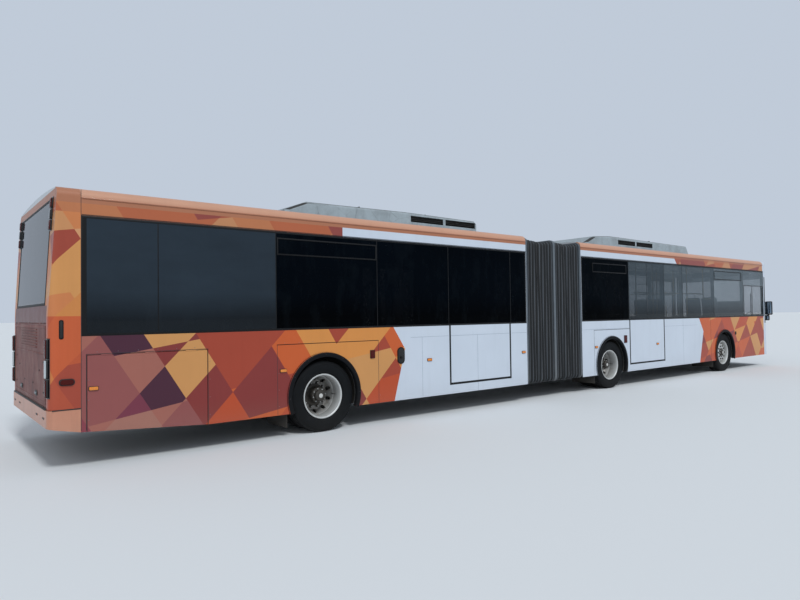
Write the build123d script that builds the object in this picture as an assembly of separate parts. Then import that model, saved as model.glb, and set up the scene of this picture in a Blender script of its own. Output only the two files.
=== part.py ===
from build123d import *
import math
import os

# Articulated low-floor bus, standing parked and straight.
# Millimetres. X forward, Y to the left, Z up. The origin lies on the ground, on the centreline,
# midway between the tail and the nose. The driver sits on the right, the doors are on the left.
os.makedirs("parts", exist_ok=True)

# Lengths along the bus
REAR_SECTION_LENGTH = 7500
JOINT_GAP = 1660
FRONT_SECTION_LENGTH = 9000
TAIL_CAP_LENGTH = 296
MASK_LENGTH = 235
REAR_OVERHANG = 3288
JOINT_TO_MID_AXLE = 1030
FRONT_OVERHANG = 2760

TAIL = -(REAR_SECTION_LENGTH + JOINT_GAP + FRONT_SECTION_LENGTH) / 2
REAR_END = TAIL + REAR_SECTION_LENGTH
FRONT_START = REAR_END + JOINT_GAP
NOSE = FRONT_START + FRONT_SECTION_LENGTH
PIVOT = (REAR_END + FRONT_START) / 2
TAIL_SEAM = TAIL + TAIL_CAP_LENGTH
MASK_SEAM = NOSE - MASK_LENGTH
REAR_AXLE = TAIL + REAR_OVERHANG
MID_AXLE = FRONT_START + JOINT_TO_MID_AXLE
FRONT_AXLE = NOSE - FRONT_OVERHANG

# Body cross-section
BODY_WIDTH = 2500
SKIRT_Z = 305
BELT_Z = 1396
WINDOW_TOP_Z = 2654
CORNICE_Z = 2790
ROOF_EDGE_Z = 2945
ROOF_CROWN_Z = 3000
ROOF_CORNER_R = 95
WALL_T = 60
ROOF_T = 50
GLASS_T = 8
PANE_GAP = 10
POST_HALF = 42
SEAM = 6
SEAT_GAP = 0.3
HALF = BODY_WIDTH / 2
CABIN_HALF = HALF - WALL_T

# Floors
FLOOR_Z = 370
FLOOR_T = 60
FLOOR_UNDER_Z = FLOOR_Z - FLOOR_T
AXLE_DECK_Z = 620
REAR_DECK_Z = 920
AXLE_DECK_LENGTH = 1850
REAR_DECK_END = 2450

# Wheels and arches
TYRE_R = 480
TYRE_WIDTH = 275
RIM_R = 290
RIM_WALL = 18
FLANGE_R = 303
FLANGE_T = 10
BEAD_HALF = 106
WHEEL_INSET = 175
WHEEL_PLANE_Y = HALF - WHEEL_INSET
TWIN_SPACING = 310
ARCH_R = 520
ARCH_Z = 500
ARCH_LIP = 58
ARCH_LIP_PROUD = 14
HOUSE_R = 620
HOUSE_T = 40
HOUSE_DEPTH = 635
HOUSE_INNER_Y = CABIN_HALF - HOUSE_DEPTH
HUB_R = 105
HAND_HOLE_COUNT = 10
HAND_HOLE_R = 27

# Steering
KINGPIN_OFFSET = 115
KINGPIN_Y = WHEEL_PLANE_Y - KINGPIN_OFFSET
KINGPIN_R = 18
EYE_R = 42
EYE_LOW_Z = 420
EYE_HIGH_Z = 540
LUG_T = 40
LUG_GAP = 2
SPINDLE_R = 45
AXLE_BEAM_LOW_Z = 225
AXLE_BEAM_T = 80

# Pivot between the two sections
PORTAL_T = 50
HOOP_T = 60
HOOP_BAR = 59
BELLOWS_LOW_Z = 292
BELLOWS_TOP_Z = 2925
BELLOWS_HALF = HALF - 12
PLEAT_DEPTH = 42
PLEATS = 9
FABRIC_T = 8
ROOF_SAG = 45
TURNTABLE_R = 420
TURNTABLE_T = 40
TURNTABLE_LOW_Z = 190
BEARING_GAP = 0.3
PIVOT_PIN_R = 50
GANGWAY_FLOOR_T = 20

# Doors, on the left
DOOR_TOP_Z = 2560
DOOR_T = 40
DOOR_INSET = 3
DOOR_FRAME = 75
DOOR_MEETING_GAP = 10
DOOR_PIN_R = 12
DOOR_PIN_REACH = 20

# Doors, blanked doors and window bays, as distances forward of the tail
DOOR_WIDTH = 1456
JOINT_TO_REAR_DOOR = 1896
JOINT_TO_CENTRE_DOOR = 1712
NOSE_TO_FRONT_DOOR = 1980
DOOR_SIDE_GAP = 12
BAY_END_GAP = 10
FRONT_FROM = REAR_SECTION_LENGTH + JOINT_GAP
LENGTH = FRONT_FROM + FRONT_SECTION_LENGTH
REAR_DOOR = REAR_SECTION_LENGTH - JOINT_TO_REAR_DOOR
CENTRE_DOOR = FRONT_FROM + JOINT_TO_CENTRE_DOOR
FRONT_DOOR = LENGTH - NOSE_TO_FRONT_DOOR
rear_door_bay = [REAR_DOOR - DOOR_SIDE_GAP, REAR_DOOR + DOOR_WIDTH + DOOR_SIDE_GAP]
centre_door_bay = [CENTRE_DOOR - DOOR_SIDE_GAP, CENTRE_DOOR + DOOR_WIDTH + DOOR_SIDE_GAP]
rear_first_bays = [TAIL_CAP_LENGTH + BAY_END_GAP, 1090, 2562, 4178]
rear_last_edge = REAR_SECTION_LENGTH - BAY_END_GAP
front_first_edge = FRONT_FROM + BAY_END_GAP
front_middle_edge = centre_door_bay[1] + 860
front_last_bays = [LENGTH - 3330, LENGTH - 1610, LENGTH - MASK_LENGTH - BAY_END_GAP]
front_door_edges = [FRONT_DOOR - 30, FRONT_DOOR + DOOR_WIDTH + 24]

REAR_RIGHT_BAYS = rear_first_bays + rear_door_bay + [rear_last_edge]
REAR_LEFT_BAYS = rear_first_bays + rear_door_bay[:1]
REAR_LEFT_END_BAY = [rear_door_bay[1], rear_last_edge]
FRONT_RIGHT_BAYS = [front_first_edge, *centre_door_bay, front_middle_edge] + front_last_bays
FRONT_LEFT_BAYS = [front_first_edge, centre_door_bay[0]]
FRONT_LEFT_MID_BAYS = [centre_door_bay[1], front_middle_edge, front_last_bays[0], front_door_edges[0]]
FRONT_LEFT_END_BAY = [front_door_edges[1], front_last_bays[-1]]
BLANK_LOW_Z = 452
GROOVE_WIDTH = 14
GROOVE_DEPTH = 5

# Lids
FLAP_START = 358
FLAP_LENGTH = 1295
FLAP_TOP_Z = 1184
FLAP_T = 40
LID_SIDE_MARGIN = 150
LID_HALF = HALF - LID_SIDE_MARGIN
LID_LOW_Z = 660
LID_TOP_Z = 1528
LID_T = 45
BARREL_R = 6
BARREL_LENGTH = 120
BARREL_LEAF = 5

# Tail
BUMPER_TOP_Z = 632
BUMPER_LOW_Z = 450
BUMPER_FRONT_LOW_Z = 388
SKIRT_RISE_START = 1680
BUMPER_PROUD = 12
TAIL_RAKE = 80
RAKE_START_Z = 1600
TAIL_CORNER_R = 90
REAR_GLASS_HALF = HALF - 250
REAR_GLASS_LOW_Z = 1720
REAR_GLASS_TOP_Z = 2850
LAMP_T = 22
LAMP_PROUD = 5

# Nose
NOSE_CORNER_R = 110
NOSE_BOW = 45
SCREEN_LOW_Z = 1200
SCREEN_TOP_Z = 2500
SIGN_LOW_Z = 2560
SIGN_TOP_Z = 2840
SIGN_HALF = HALF - 350


def box(x0, x1, y0, y1, z0, z1):
    return Pos((x0 + x1) / 2, (y0 + y1) / 2, (z0 + z1) / 2) * Box(x1 - x0, y1 - y0, z1 - z0)


def rod_y(radius, x, z, y0, y1):
    return Pos(x, (y0 + y1) / 2, z) * Rot(90, 0, 0) * Cylinder(radius, abs(y1 - y0))


def rod_x(radius, y, z, x0, x1):
    return Pos((x0 + x1) / 2, y, z) * Rot(0, 90, 0) * Cylinder(radius, x1 - x0)


def rod_z(radius, x, y, z0, z1):
    return Pos(x, y, (z0 + z1) / 2) * Cylinder(radius, z1 - z0)


def prism_x(face, x0, x1):
    return extrude(Plane.YZ.offset(x0) * face, x1 - x0)


def prism_y(points, y0, y1):
    face = make_face(Polyline(*points, close=True))
    return extrude(Plane.XZ.offset(-y1) * face, y1 - y0)


def prism_z(face, z0, z1):
    return extrude(Plane.XY.offset(z0) * face, z1 - z0)


def to_right(shape):
    return mirror(shape, about=Plane.XZ)


def both_sides(shape):
    return [shape, to_right(shape)]


def save(name, *shapes):
    solids = []
    for shape in shapes:
        solids.extend(shape.solids())
    whole = solids[0] if len(solids) == 1 else Compound(children=solids)
    export_step(whole, f"parts/{name}.step")


def tail_x(distance):
    return TAIL + distance


# Hinge lines of the lids, and where their barrels sit
lid_axis_z = LID_TOP_Z + SEAM / 2
lid_barrel_ys = (-LID_HALF * 0.7, 0, LID_HALF * 0.7)
flap_axis_z = FLAP_TOP_Z + SEAM / 2
flap_barrel_xs = [tail_x(FLAP_START + FLAP_LENGTH * share) for share in (0.15, 0.5, 0.85)]


# Body outline seen from the front, from low_z up to the crowned roof, drawn inset from the skin
def section_face(inset, low_z):
    half = HALF - inset
    edge = ROOF_EDGE_Z - inset
    outline = (
        Polyline((-half, edge), (-half, low_z), (half, low_z), (half, edge))
        + ThreePointArc((half, edge), (0, ROOF_CROWN_Z - inset), (-half, edge))
    )
    face = make_face(outline)
    corners = [v for v in face.vertices() if v.Y > edge - 1]
    return fillet(corners, ROOF_CORNER_R - inset)


# Tail as a solid: cross-section, raked side view and round-cornered plan, all inset together
def tail_body(inset, low_z):
    back = TAIL + inset
    along = prism_x(section_face(inset, low_z), TAIL - 50, TAIL_SEAM)
    rake = [
        (TAIL_SEAM, low_z),
        (back, low_z),
        (back, RAKE_START_Z),
        (back + TAIL_RAKE, ROOF_CROWN_Z - inset),
        (TAIL_SEAM, ROOF_CROWN_Z - inset),
    ]
    side = prism_y(rake, -HALF, HALF)
    plan = Rectangle(2 * TAIL_CAP_LENGTH, BODY_WIDTH - 2 * inset)
    plan = fillet(plan.vertices().group_by(Axis.X)[0], TAIL_CORNER_R - inset)
    plan = Pos(back + TAIL_CAP_LENGTH, 0) * plan
    return along & side & prism_z(plan, low_z, ROOF_CROWN_Z)


# Nose as a solid, bowed in plan, with rounded corners
def nose_body(inset, low_z):
    half = HALF - inset
    front = NOSE - inset
    back = MASK_SEAM - 2 * NOSE_CORNER_R
    along = prism_x(section_face(inset, low_z), MASK_SEAM, NOSE + 50)
    plan = make_face(
        Polyline((front - NOSE_BOW, half), (back, half), (back, -half), (front - NOSE_BOW, -half))
        + ThreePointArc((front - NOSE_BOW, -half), (front, 0), (front - NOSE_BOW, half))
    )
    corners = [v for v in plan.vertices() if v.X > MASK_SEAM]
    plan = fillet(corners, NOSE_CORNER_R - inset)
    return along & prism_z(plan, low_z, ROOF_CROWN_Z)


# Where the two leaves of a door turn, just inside its posts
door_mid_y = HALF - DOOR_INSET - DOOR_T / 2


def door_axes(distance):
    x0 = tail_x(distance) + SEAM + DOOR_T / 2
    return x0, x0 + DOOR_WIDTH - 2 * SEAM - DOOR_T


# Side walls
def window_bays(bays):
    return [(tail_x(a), tail_x(b)) for a, b in zip(bays[:-1], bays[1:])]


def side_wall(start, end, bay_groups, arches, doors):
    wall = box(start, end, CABIN_HALF, HALF, SKIRT_Z, CORNICE_Z)
    for bays in bay_groups:
        band = window_bays(bays)
        wall -= box(band[0][0], band[-1][1], HALF - GLASS_T, HALF + 1, BELT_Z, WINDOW_TOP_Z)
        for x0, x1 in band:
            wall -= box(
                x0 + POST_HALF, x1 - POST_HALF, CABIN_HALF - 1, HALF,
                BELT_Z + POST_HALF, WINDOW_TOP_Z - POST_HALF,
            )
    for x in arches:
        lip = rod_y(ARCH_R + ARCH_LIP, x, ARCH_Z, HALF - 1, HALF + ARCH_LIP_PROUD)
        wall += lip & box(x - 2 * ARCH_R, x + 2 * ARCH_R, 0, 2 * HALF, SKIRT_Z, 2 * CORNICE_Z)
        wall -= rod_y(ARCH_R, x, ARCH_Z, CABIN_HALF - 1, HALF + ARCH_LIP_PROUD + 1)
    for distance in doors:
        x0 = tail_x(distance)
        wall -= box(x0, x0 + DOOR_WIDTH, CABIN_HALF - 1, HALF + 1, 0, DOOR_TOP_Z + SEAM)
        for x in door_axes(distance):
            socket_top = DOOR_TOP_Z + SEAM + DOOR_PIN_REACH + 1
            wall -= rod_z(DOOR_PIN_R + BEARING_GAP, x, door_mid_y, DOOR_TOP_Z, socket_top)
    return wall


def blank_door_groove(distance):
    x0 = tail_x(distance)
    x1 = x0 + DOOR_WIDTH
    low = BLANK_LOW_Z
    ring = box(x0, x1, HALF - GROOVE_DEPTH, HALF + 1, low, BELT_Z)
    ring -= box(
        x0 + GROOVE_WIDTH, x1 - GROOVE_WIDTH, HALF - GROOVE_DEPTH - 1, HALF + 2,
        low + GROOVE_WIDTH, BELT_Z + 1,
    )
    return ring


def panes(bay_groups):
    glass = []
    for bays in bay_groups:
        for x0, x1 in window_bays(bays):
            glass.append(box(
                x0 + PANE_GAP / 2, x1 - PANE_GAP / 2, HALF - GLASS_T, HALF,
                BELT_Z + PANE_GAP / 2, WINDOW_TOP_Z - PANE_GAP / 2,
            ))
    return glass


# Towards the tail the skirts rise to the bumper's lower edge
skirt_rise = prism_y([
    (TAIL_SEAM, 0), (tail_x(SKIRT_RISE_START), 0), (tail_x(SKIRT_RISE_START), SKIRT_Z),
    (TAIL_SEAM, BUMPER_FRONT_LOW_Z),
], -HALF - 1, HALF + 1)

rear_left_groups = [REAR_LEFT_BAYS, REAR_LEFT_END_BAY]
front_left_groups = [FRONT_LEFT_BAYS, FRONT_LEFT_MID_BAYS, FRONT_LEFT_END_BAY]

rear_left = side_wall(TAIL_SEAM, REAR_END, rear_left_groups, [REAR_AXLE], [REAR_DOOR])
save("rear_side_left", rear_left - skirt_rise)

rear_right = side_wall(TAIL_SEAM, REAR_END, [REAR_RIGHT_BAYS], [REAR_AXLE], [])
rear_right -= blank_door_groove(REAR_DOOR)
rear_right -= box(
    tail_x(FLAP_START - SEAM), tail_x(FLAP_START + FLAP_LENGTH + SEAM),
    CABIN_HALF - 1, HALF + 1, 0, FLAP_TOP_Z + SEAM,
)
for x in flap_barrel_xs:
    reach = BARREL_LENGTH / 2 + BEARING_GAP
    rear_right -= rod_x(BARREL_R + BEARING_GAP, HALF, flap_axis_z, x - reach, x + reach)
save("rear_side_right", to_right(rear_right - skirt_rise))

front_left = side_wall(
    FRONT_START, MASK_SEAM, front_left_groups, [MID_AXLE, FRONT_AXLE], [CENTRE_DOOR, FRONT_DOOR]
)
save("front_side_left", front_left)

front_right = side_wall(FRONT_START, MASK_SEAM, [FRONT_RIGHT_BAYS], [MID_AXLE, FRONT_AXLE], [])
front_right -= blank_door_groove(CENTRE_DOOR)
save("front_side_right", to_right(front_right))

save("rear_glazing", *panes(rear_left_groups), *[to_right(p) for p in panes([REAR_RIGHT_BAYS])])
save("front_glazing", *panes(front_left_groups), *[to_right(p) for p in panes([FRONT_RIGHT_BAYS])])

# Air-conditioning pods on the roof, with louvred openings in their sides
POD_HALF = HALF - 300
POD_EDGE_R = 45
LOUVRE_DEPTH = 50
SLAT_T = 8
SLATS = 3


def roof_pod(profile, openings, grille_low, grille_high):
    pod = prism_y([(tail_x(x), z) for x, z in profile], -POD_HALF, POD_HALF)
    long_edges = [
        e for e in pod.edges()
        if abs(abs(e.center().Y) - POD_HALF) < 1 and e.center().Z > profile[1][1]
    ]
    pod = fillet(long_edges, POD_EDGE_R)
    pod -= prism_x(section_face(0, CORNICE_Z), TAIL_SEAM, MASK_SEAM)
    for x0, x1 in openings:
        recess = box(
            tail_x(x0), tail_x(x1), POD_HALF - LOUVRE_DEPTH, POD_HALF + 1, grille_low, grille_high
        )
        pitch = (grille_high - grille_low) / (SLATS + 1)
        for i in range(SLATS):
            z = grille_low + pitch * (i + 1)
            slat = Pos(tail_x((x0 + x1) / 2), POD_HALF - LOUVRE_DEPTH / 2 - 4, z) * Rot(35, 0, 0)
            recess -= slat * Box(x1 - x0 + 2, LOUVRE_DEPTH * 0.7, SLAT_T)
        pod -= recess
        pod -= to_right(recess)
    return pod


# Each profile is a row of (distance from the pod's tail end, height), closed below the roof
POD_BASE_Z = 2900
REAR_POD_START = 2860
FRONT_POD_START = FRONT_FROM + 640
LOUVRE_LENGTH = 695
LOUVRE_SPACING = 55
rear_pod_top = [(0, 3022), (355, 3162), (2140, 3185), (3670, 3168), (3702, 3140)]
front_pod_top = [(0, 3022), (335, 3165), (935, 3205), (4270, 3178), (4375, 3026)]


def pod_profile(start, top):
    outline = [(0, POD_BASE_Z), *top, (top[-1][0], POD_BASE_Z)]
    return [(start + x, z) for x, z in outline]


def louvre_pair(start):
    second = start + LOUVRE_LENGTH + LOUVRE_SPACING
    return [(start, start + LOUVRE_LENGTH), (second, second + LOUVRE_LENGTH)]


save("rear_roof_pod", roof_pod(
    pod_profile(REAR_POD_START, rear_pod_top), louvre_pair(REAR_POD_START + 2225), 3035, 3132
))
save("front_roof_pod", roof_pod(
    pod_profile(FRONT_POD_START, front_pod_top), louvre_pair(FRONT_POD_START + 1190), 3040, 3138
))

# Tail cap with its window, lid opening and lamp recesses
tail_low = BUMPER_TOP_Z + SEAM
LAMP_WIDTH = 90
low_lamp_y = HALF - 128
high_lamp_y = HALF - 235
LOW_LAMP = (low_lamp_y, low_lamp_y + LAMP_WIDTH, 756, 1372)
HIGH_LAMP = (high_lamp_y, high_lamp_y + LAMP_WIDTH, 2500, 2858)


def tail_zone(half_or_pair, z0, z1, grow):
    y0, y1 = half_or_pair
    return box(TAIL - 60, TAIL_SEAM - 60, y0 - grow, y1 + grow, z0 - grow, z1 + grow)


tail_skin = tail_body(0, tail_low)
tail_cap = tail_skin - tail_body(WALL_T, tail_low - 1)
tail_cap -= box(TAIL - 60, TAIL_SEAM - 60, -CABIN_HALF, CABIN_HALF, 0, tail_low - 1)
tail_cap -= tail_zone((-LID_HALF, LID_HALF), LID_LOW_Z, LID_TOP_Z, SEAM)
for y in lid_barrel_ys:
    reach = BARREL_LENGTH / 2 + BEARING_GAP
    tail_cap -= rod_y(BARREL_R + BEARING_GAP, TAIL, lid_axis_z, y - reach, y + reach)
glass_zone = tail_zone((-REAR_GLASS_HALF, REAR_GLASS_HALF), REAR_GLASS_LOW_Z, REAR_GLASS_TOP_Z, 0)
glass_hole = tail_zone(
    (-REAR_GLASS_HALF, REAR_GLASS_HALF), REAR_GLASS_LOW_Z, REAR_GLASS_TOP_Z, -POST_HALF
)
glass_bed = tail_body(GLASS_T, tail_low)
tail_cap -= glass_hole
tail_cap -= tail_zone(
    (-REAR_GLASS_HALF, REAR_GLASS_HALF), REAR_GLASS_LOW_Z, REAR_GLASS_TOP_Z, PANE_GAP / 2
) - glass_bed
lamp_bed = tail_body(LAMP_T, tail_low)
lamp_shell = tail_body(-LAMP_PROUD, tail_low) - lamp_bed
lamps = []
for y0, y1, z0, z1 in (LOW_LAMP, HIGH_LAMP):
    zone = tail_zone((y0, y1), z0, z1, 0)
    recess = tail_zone((y0, y1), z0, z1, 2) - lamp_bed
    tail_cap -= recess
    tail_cap -= to_right(recess)
    lamps += both_sides(zone & lamp_shell)
save("tail_cap", tail_cap)
save("tail_lamps", *lamps)
save("rear_window", glass_zone & (tail_skin - glass_bed))

# Rear bumper
bumper_side = [
    (TAIL - BUMPER_PROUD, BUMPER_LOW_Z),
    (TAIL_SEAM, BUMPER_FRONT_LOW_Z),
    (TAIL_SEAM, BUMPER_TOP_Z),
    (TAIL - BUMPER_PROUD, BUMPER_TOP_Z),
]


def bumper_plan(inset):
    plan = Rectangle(2 * TAIL_CAP_LENGTH, BODY_WIDTH - 2 * inset)
    plan = fillet(plan.vertices().group_by(Axis.X)[0], TAIL_CORNER_R - inset)
    return Pos(TAIL - BUMPER_PROUD + inset + TAIL_CAP_LENGTH, 0) * plan


bumper_ring = prism_z(bumper_plan(0), 0, BUMPER_TOP_Z)
bumper_ring -= prism_z(bumper_plan(WALL_T), -1, BUMPER_TOP_Z + 1)
save("rear_bumper", bumper_ring & prism_y(bumper_side, -HALF, HALF))

# Engine lid and side flap, hung on barrels along their top seams
lid = box(TAIL, TAIL + LID_T, -LID_HALF, LID_HALF, LID_LOW_Z, LID_TOP_Z)
for y in lid_barrel_ys:
    y0, y1 = y - BARREL_LENGTH / 2, y + BARREL_LENGTH / 2
    lid += rod_y(BARREL_R, TAIL, lid_axis_z, y0, y1)
    lid += box(TAIL, TAIL + BARREL_LEAF, y0, y1, LID_TOP_Z - BARREL_LEAF, lid_axis_z)
save("engine_lid", lid)
flap = box(
    tail_x(FLAP_START), tail_x(FLAP_START + FLAP_LENGTH), HALF - FLAP_T, HALF, SKIRT_Z, FLAP_TOP_Z
)
for x in flap_barrel_xs:
    flap += rod_x(BARREL_R, HALF, flap_axis_z, x - BARREL_LENGTH / 2, x + BARREL_LENGTH / 2)
    flap += box(
        x - BARREL_LENGTH / 2, x + BARREL_LENGTH / 2, HALF - BARREL_LEAF, HALF,
        FLAP_TOP_Z - BARREL_LEAF, flap_axis_z,
    )
save("side_flap", to_right(flap - skirt_rise))

# Front mask with its screen, sign and lamp openings
HEADLAMP_WIDTH = 310
headlamp_y = HALF - 550
HEADLAMP = (headlamp_y, headlamp_y + HEADLAMP_WIDTH, 520, 680)
mask_skin = nose_body(0, SKIRT_Z)
mask = mask_skin - nose_body(WALL_T, SKIRT_Z - 1)
screen_bed = nose_body(GLASS_T, SKIRT_Z)
screen_frame = MASK_SEAM + POST_HALF


def nose_zone(half, z0, z1, grow):
    return box(screen_frame - grow, NOSE + 50, -half - grow, half + grow, z0 - grow, z1 + grow)


mask -= nose_zone(HALF + 20, SCREEN_LOW_Z, SCREEN_TOP_Z, -POST_HALF)
mask -= nose_zone(HALF + 20, SCREEN_LOW_Z, SCREEN_TOP_Z, PANE_GAP / 2) - screen_bed
mask -= nose_zone(SIGN_HALF, SIGN_LOW_Z, SIGN_TOP_Z, -POST_HALF)
mask -= nose_zone(SIGN_HALF, SIGN_LOW_Z, SIGN_TOP_Z, PANE_GAP / 2) - screen_bed
headlamp_bed = nose_body(LAMP_T, SKIRT_Z)
headlamp_shell = nose_body(-2, SKIRT_Z) - headlamp_bed
y0, y1, z0, z1 = HEADLAMP
lamp_zone = box(MASK_SEAM + 40, NOSE + 50, y0, y1, z0, z1)
lamp_recess = box(MASK_SEAM + 40, NOSE + 50, y0 - 2, y1 + 2, z0 - 2, z1 + 2) - headlamp_bed
mask = mask - lamp_recess - to_right(lamp_recess)
save("front_mask", mask)
save("headlamps", *both_sides(lamp_zone & headlamp_shell))
glass_skin = mask_skin - screen_bed
save(
    "windscreen",
    nose_zone(HALF + 20, SCREEN_LOW_Z, SCREEN_TOP_Z, 0) & glass_skin,
    nose_zone(SIGN_HALF, SIGN_LOW_Z, SIGN_TOP_Z, 0) & glass_skin,
)


# Floors and wheel houses
def house_notch(x, left):
    side = 1 if left else -1
    y0, y1 = sorted((side * HOUSE_INNER_Y, side * (CABIN_HALF + 1)))
    return box(x - HOUSE_R - HOUSE_T, x + HOUSE_R + HOUSE_T, y0, y1, 0, FLOOR_Z + 1200)


def wheel_house(x):
    outer = rod_y(HOUSE_R + HOUSE_T, x, ARCH_Z, HOUSE_INNER_Y, CABIN_HALF)
    inner = rod_y(HOUSE_R, x, ARCH_Z, HOUSE_INNER_Y + HOUSE_T, CABIN_HALF + 1)
    reach = HOUSE_R + HOUSE_T
    outer += box(x - reach, x + reach, HOUSE_INNER_Y, CABIN_HALF, FLOOR_UNDER_Z, ARCH_Z)
    inner += box(x - HOUSE_R, x + HOUSE_R, HOUSE_INNER_Y + HOUSE_T, CABIN_HALF + 1, 0, ARCH_Z)
    return (outer & box(x - reach, x + reach, 0, HALF, FLOOR_UNDER_Z, 2000)) - inner


front_floor = box(FRONT_START, MASK_SEAM, -CABIN_HALF, CABIN_HALF, FLOOR_UNDER_Z, FLOOR_Z)
for x in (MID_AXLE, FRONT_AXLE):
    front_floor -= house_notch(x, True)
    front_floor -= house_notch(x, False)
save("front_floor", front_floor)
save("front_wheel_houses", *both_sides(wheel_house(MID_AXLE)), *both_sides(wheel_house(FRONT_AXLE)))

deck_profile = [
    (TAIL_SEAM, REAR_DECK_Z), (TAIL_SEAM, REAR_DECK_Z - FLOOR_T),
    (tail_x(REAR_DECK_END) - FLOOR_T, REAR_DECK_Z - FLOOR_T),
    (tail_x(REAR_DECK_END) - FLOOR_T, AXLE_DECK_Z - FLOOR_T),
    (tail_x(REAR_DECK_END + AXLE_DECK_LENGTH) - FLOOR_T, AXLE_DECK_Z - FLOOR_T),
    (tail_x(REAR_DECK_END + AXLE_DECK_LENGTH) - FLOOR_T, FLOOR_UNDER_Z),
    (REAR_END, FLOOR_UNDER_Z), (REAR_END, FLOOR_Z),
    (tail_x(REAR_DECK_END + AXLE_DECK_LENGTH), FLOOR_Z),
    (tail_x(REAR_DECK_END + AXLE_DECK_LENGTH), AXLE_DECK_Z),
    (tail_x(REAR_DECK_END), AXLE_DECK_Z), (tail_x(REAR_DECK_END), REAR_DECK_Z),
]
rear_floor = prism_y(deck_profile, -CABIN_HALF, CABIN_HALF)
for left in (True, False):
    rear_floor -= house_notch(REAR_AXLE, left)
save("rear_floor", rear_floor)
save("rear_wheel_houses", *both_sides(wheel_house(REAR_AXLE)))

# Underframe: two rails and cross members in bays that leave the axles free
RAIL_Y = HOUSE_INNER_Y - 135
RAIL_WIDTH = 80
RAIL_LOW_Z = 200
CROSS_WIDTH = 70
CROSS_HEIGHT = 60
CROSS_SPACING = 1100
AXLE_CLEARANCE = 260
JOINT_CLEARANCE = 220
MASK_CLEARANCE = 60


def rail_bay(x0, x1, top_z):
    bay = box(x0, x1, RAIL_Y - RAIL_WIDTH / 2, RAIL_Y + RAIL_WIDTH / 2, RAIL_LOW_Z, top_z)
    bay += to_right(bay)
    count = max(2, round((x1 - x0) / CROSS_SPACING) + 1)
    for i in range(count):
        x = x0 + (x1 - x0 - CROSS_WIDTH) * i / (count - 1)
        bay += box(x, x + CROSS_WIDTH, -HOUSE_INNER_Y, HOUSE_INNER_Y, top_z - CROSS_HEIGHT, top_z)
    return bay


TOW_LUG_R = 60
TOW_BORE_R = 20
TOW_LUG_T = 36
FRONT_TOW_SETBACK = 140
REAR_TOW_SETBACK = 120
turn_mid_z = TURNTABLE_LOW_Z + TURNTABLE_T
front_ring_low = turn_mid_z + BEARING_GAP
front_ring_top = front_ring_low + TURNTABLE_T
BEAM_HALF = 260
BEAM_REACH = 200
BEAM_POST = 80
front_beam_end = FRONT_START + BEAM_REACH
ring = rod_z(TURNTABLE_R, PIVOT, 0, front_ring_low, front_ring_top)
ring += box(PIVOT, front_beam_end, -BEAM_HALF, BEAM_HALF, front_ring_low, front_ring_top)
ring += box(
    front_beam_end - BEAM_POST, front_beam_end, -BEAM_HALF, BEAM_HALF, front_ring_low, FLOOR_UNDER_Z
)
ring -= rod_z(PIVOT_PIN_R + BEARING_GAP, PIVOT, 0, 0, front_ring_top + 1)
save("turntable", ring)

front_bays = [
    (FRONT_START + JOINT_CLEARANCE, MID_AXLE - AXLE_CLEARANCE),
    (MID_AXLE + AXLE_CLEARANCE, FRONT_AXLE - AXLE_CLEARANCE),
    (FRONT_AXLE + AXLE_CLEARANCE, MASK_SEAM - MASK_CLEARANCE),
]
front_rails = [rail_bay(a, b, FLOOR_UNDER_Z) for a, b in front_bays]


# Towing lug: a tongue from x0 to its eye at x1, with an upright bore
def tow_lug(x0, x1, low_z):
    lug = box(min(x0, x1), max(x0, x1), -TOW_LUG_R, TOW_LUG_R, low_z, low_z + TOW_LUG_T)
    lug += rod_z(TOW_LUG_R, x1, 0, low_z, low_z + TOW_LUG_T)
    return lug - rod_z(TOW_BORE_R, x1, 0, low_z - 1, low_z + TOW_LUG_T + 1)


front_rail_end = front_bays[-1][1]
front_rails[-1] += tow_lug(front_rail_end - CROSS_WIDTH, NOSE - FRONT_TOW_SETBACK, RAIL_LOW_Z)
front_rails[-1] += box(
    front_rail_end - CROSS_WIDTH, front_rail_end, -TOW_LUG_R, TOW_LUG_R, RAIL_LOW_Z, FLOOR_UNDER_Z
)
save("front_underframe", *front_rails)

rear_beam_end = REAR_END - BEAM_REACH
draw = rod_z(TURNTABLE_R, PIVOT, 0, TURNTABLE_LOW_Z, turn_mid_z)
draw += box(rear_beam_end, PIVOT, -BEAM_HALF, BEAM_HALF, TURNTABLE_LOW_Z, turn_mid_z)
draw += box(
    rear_beam_end, rear_beam_end + BEAM_POST, -BEAM_HALF, BEAM_HALF, TURNTABLE_LOW_Z, FLOOR_UNDER_Z
)
draw += rod_z(PIVOT_PIN_R, PIVOT, 0, TURNTABLE_LOW_Z, front_ring_top)
low_deck_start = tail_x(REAR_DECK_END + AXLE_DECK_LENGTH)
rear_bay = rail_bay(low_deck_start, REAR_END - JOINT_CLEARANCE, FLOOR_UNDER_Z)

# Engine, one plain block between its own two rails, which hang from the rear deck
ENGINE_START = 420
ENGINE_LENGTH = 1480
ENGINE_HALF = 450
ENGINE_LOW_Z = 340
ENGINE_HEIGHT = 480
ENGINE_RAIL_Z = 400
ENGINE_RAIL_LENGTH = 2000
deck_under_z = REAR_DECK_Z - FLOOR_T
rail_inner = ENGINE_HALF + SEAT_GAP
rail_outer = rail_inner + RAIL_WIDTH
engine_rail_end = TAIL_SEAM + ENGINE_RAIL_LENGTH
rail_top = ENGINE_RAIL_Z + RAIL_WIDTH
engine_rails = box(TAIL_SEAM, engine_rail_end, rail_inner, rail_outer, ENGINE_RAIL_Z, rail_top)
for x in (TAIL_SEAM, engine_rail_end - CROSS_WIDTH):
    engine_rails += box(x, x + CROSS_WIDTH, rail_inner, rail_outer, ENGINE_RAIL_Z, deck_under_z)
engine_rails += to_right(engine_rails)
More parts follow.
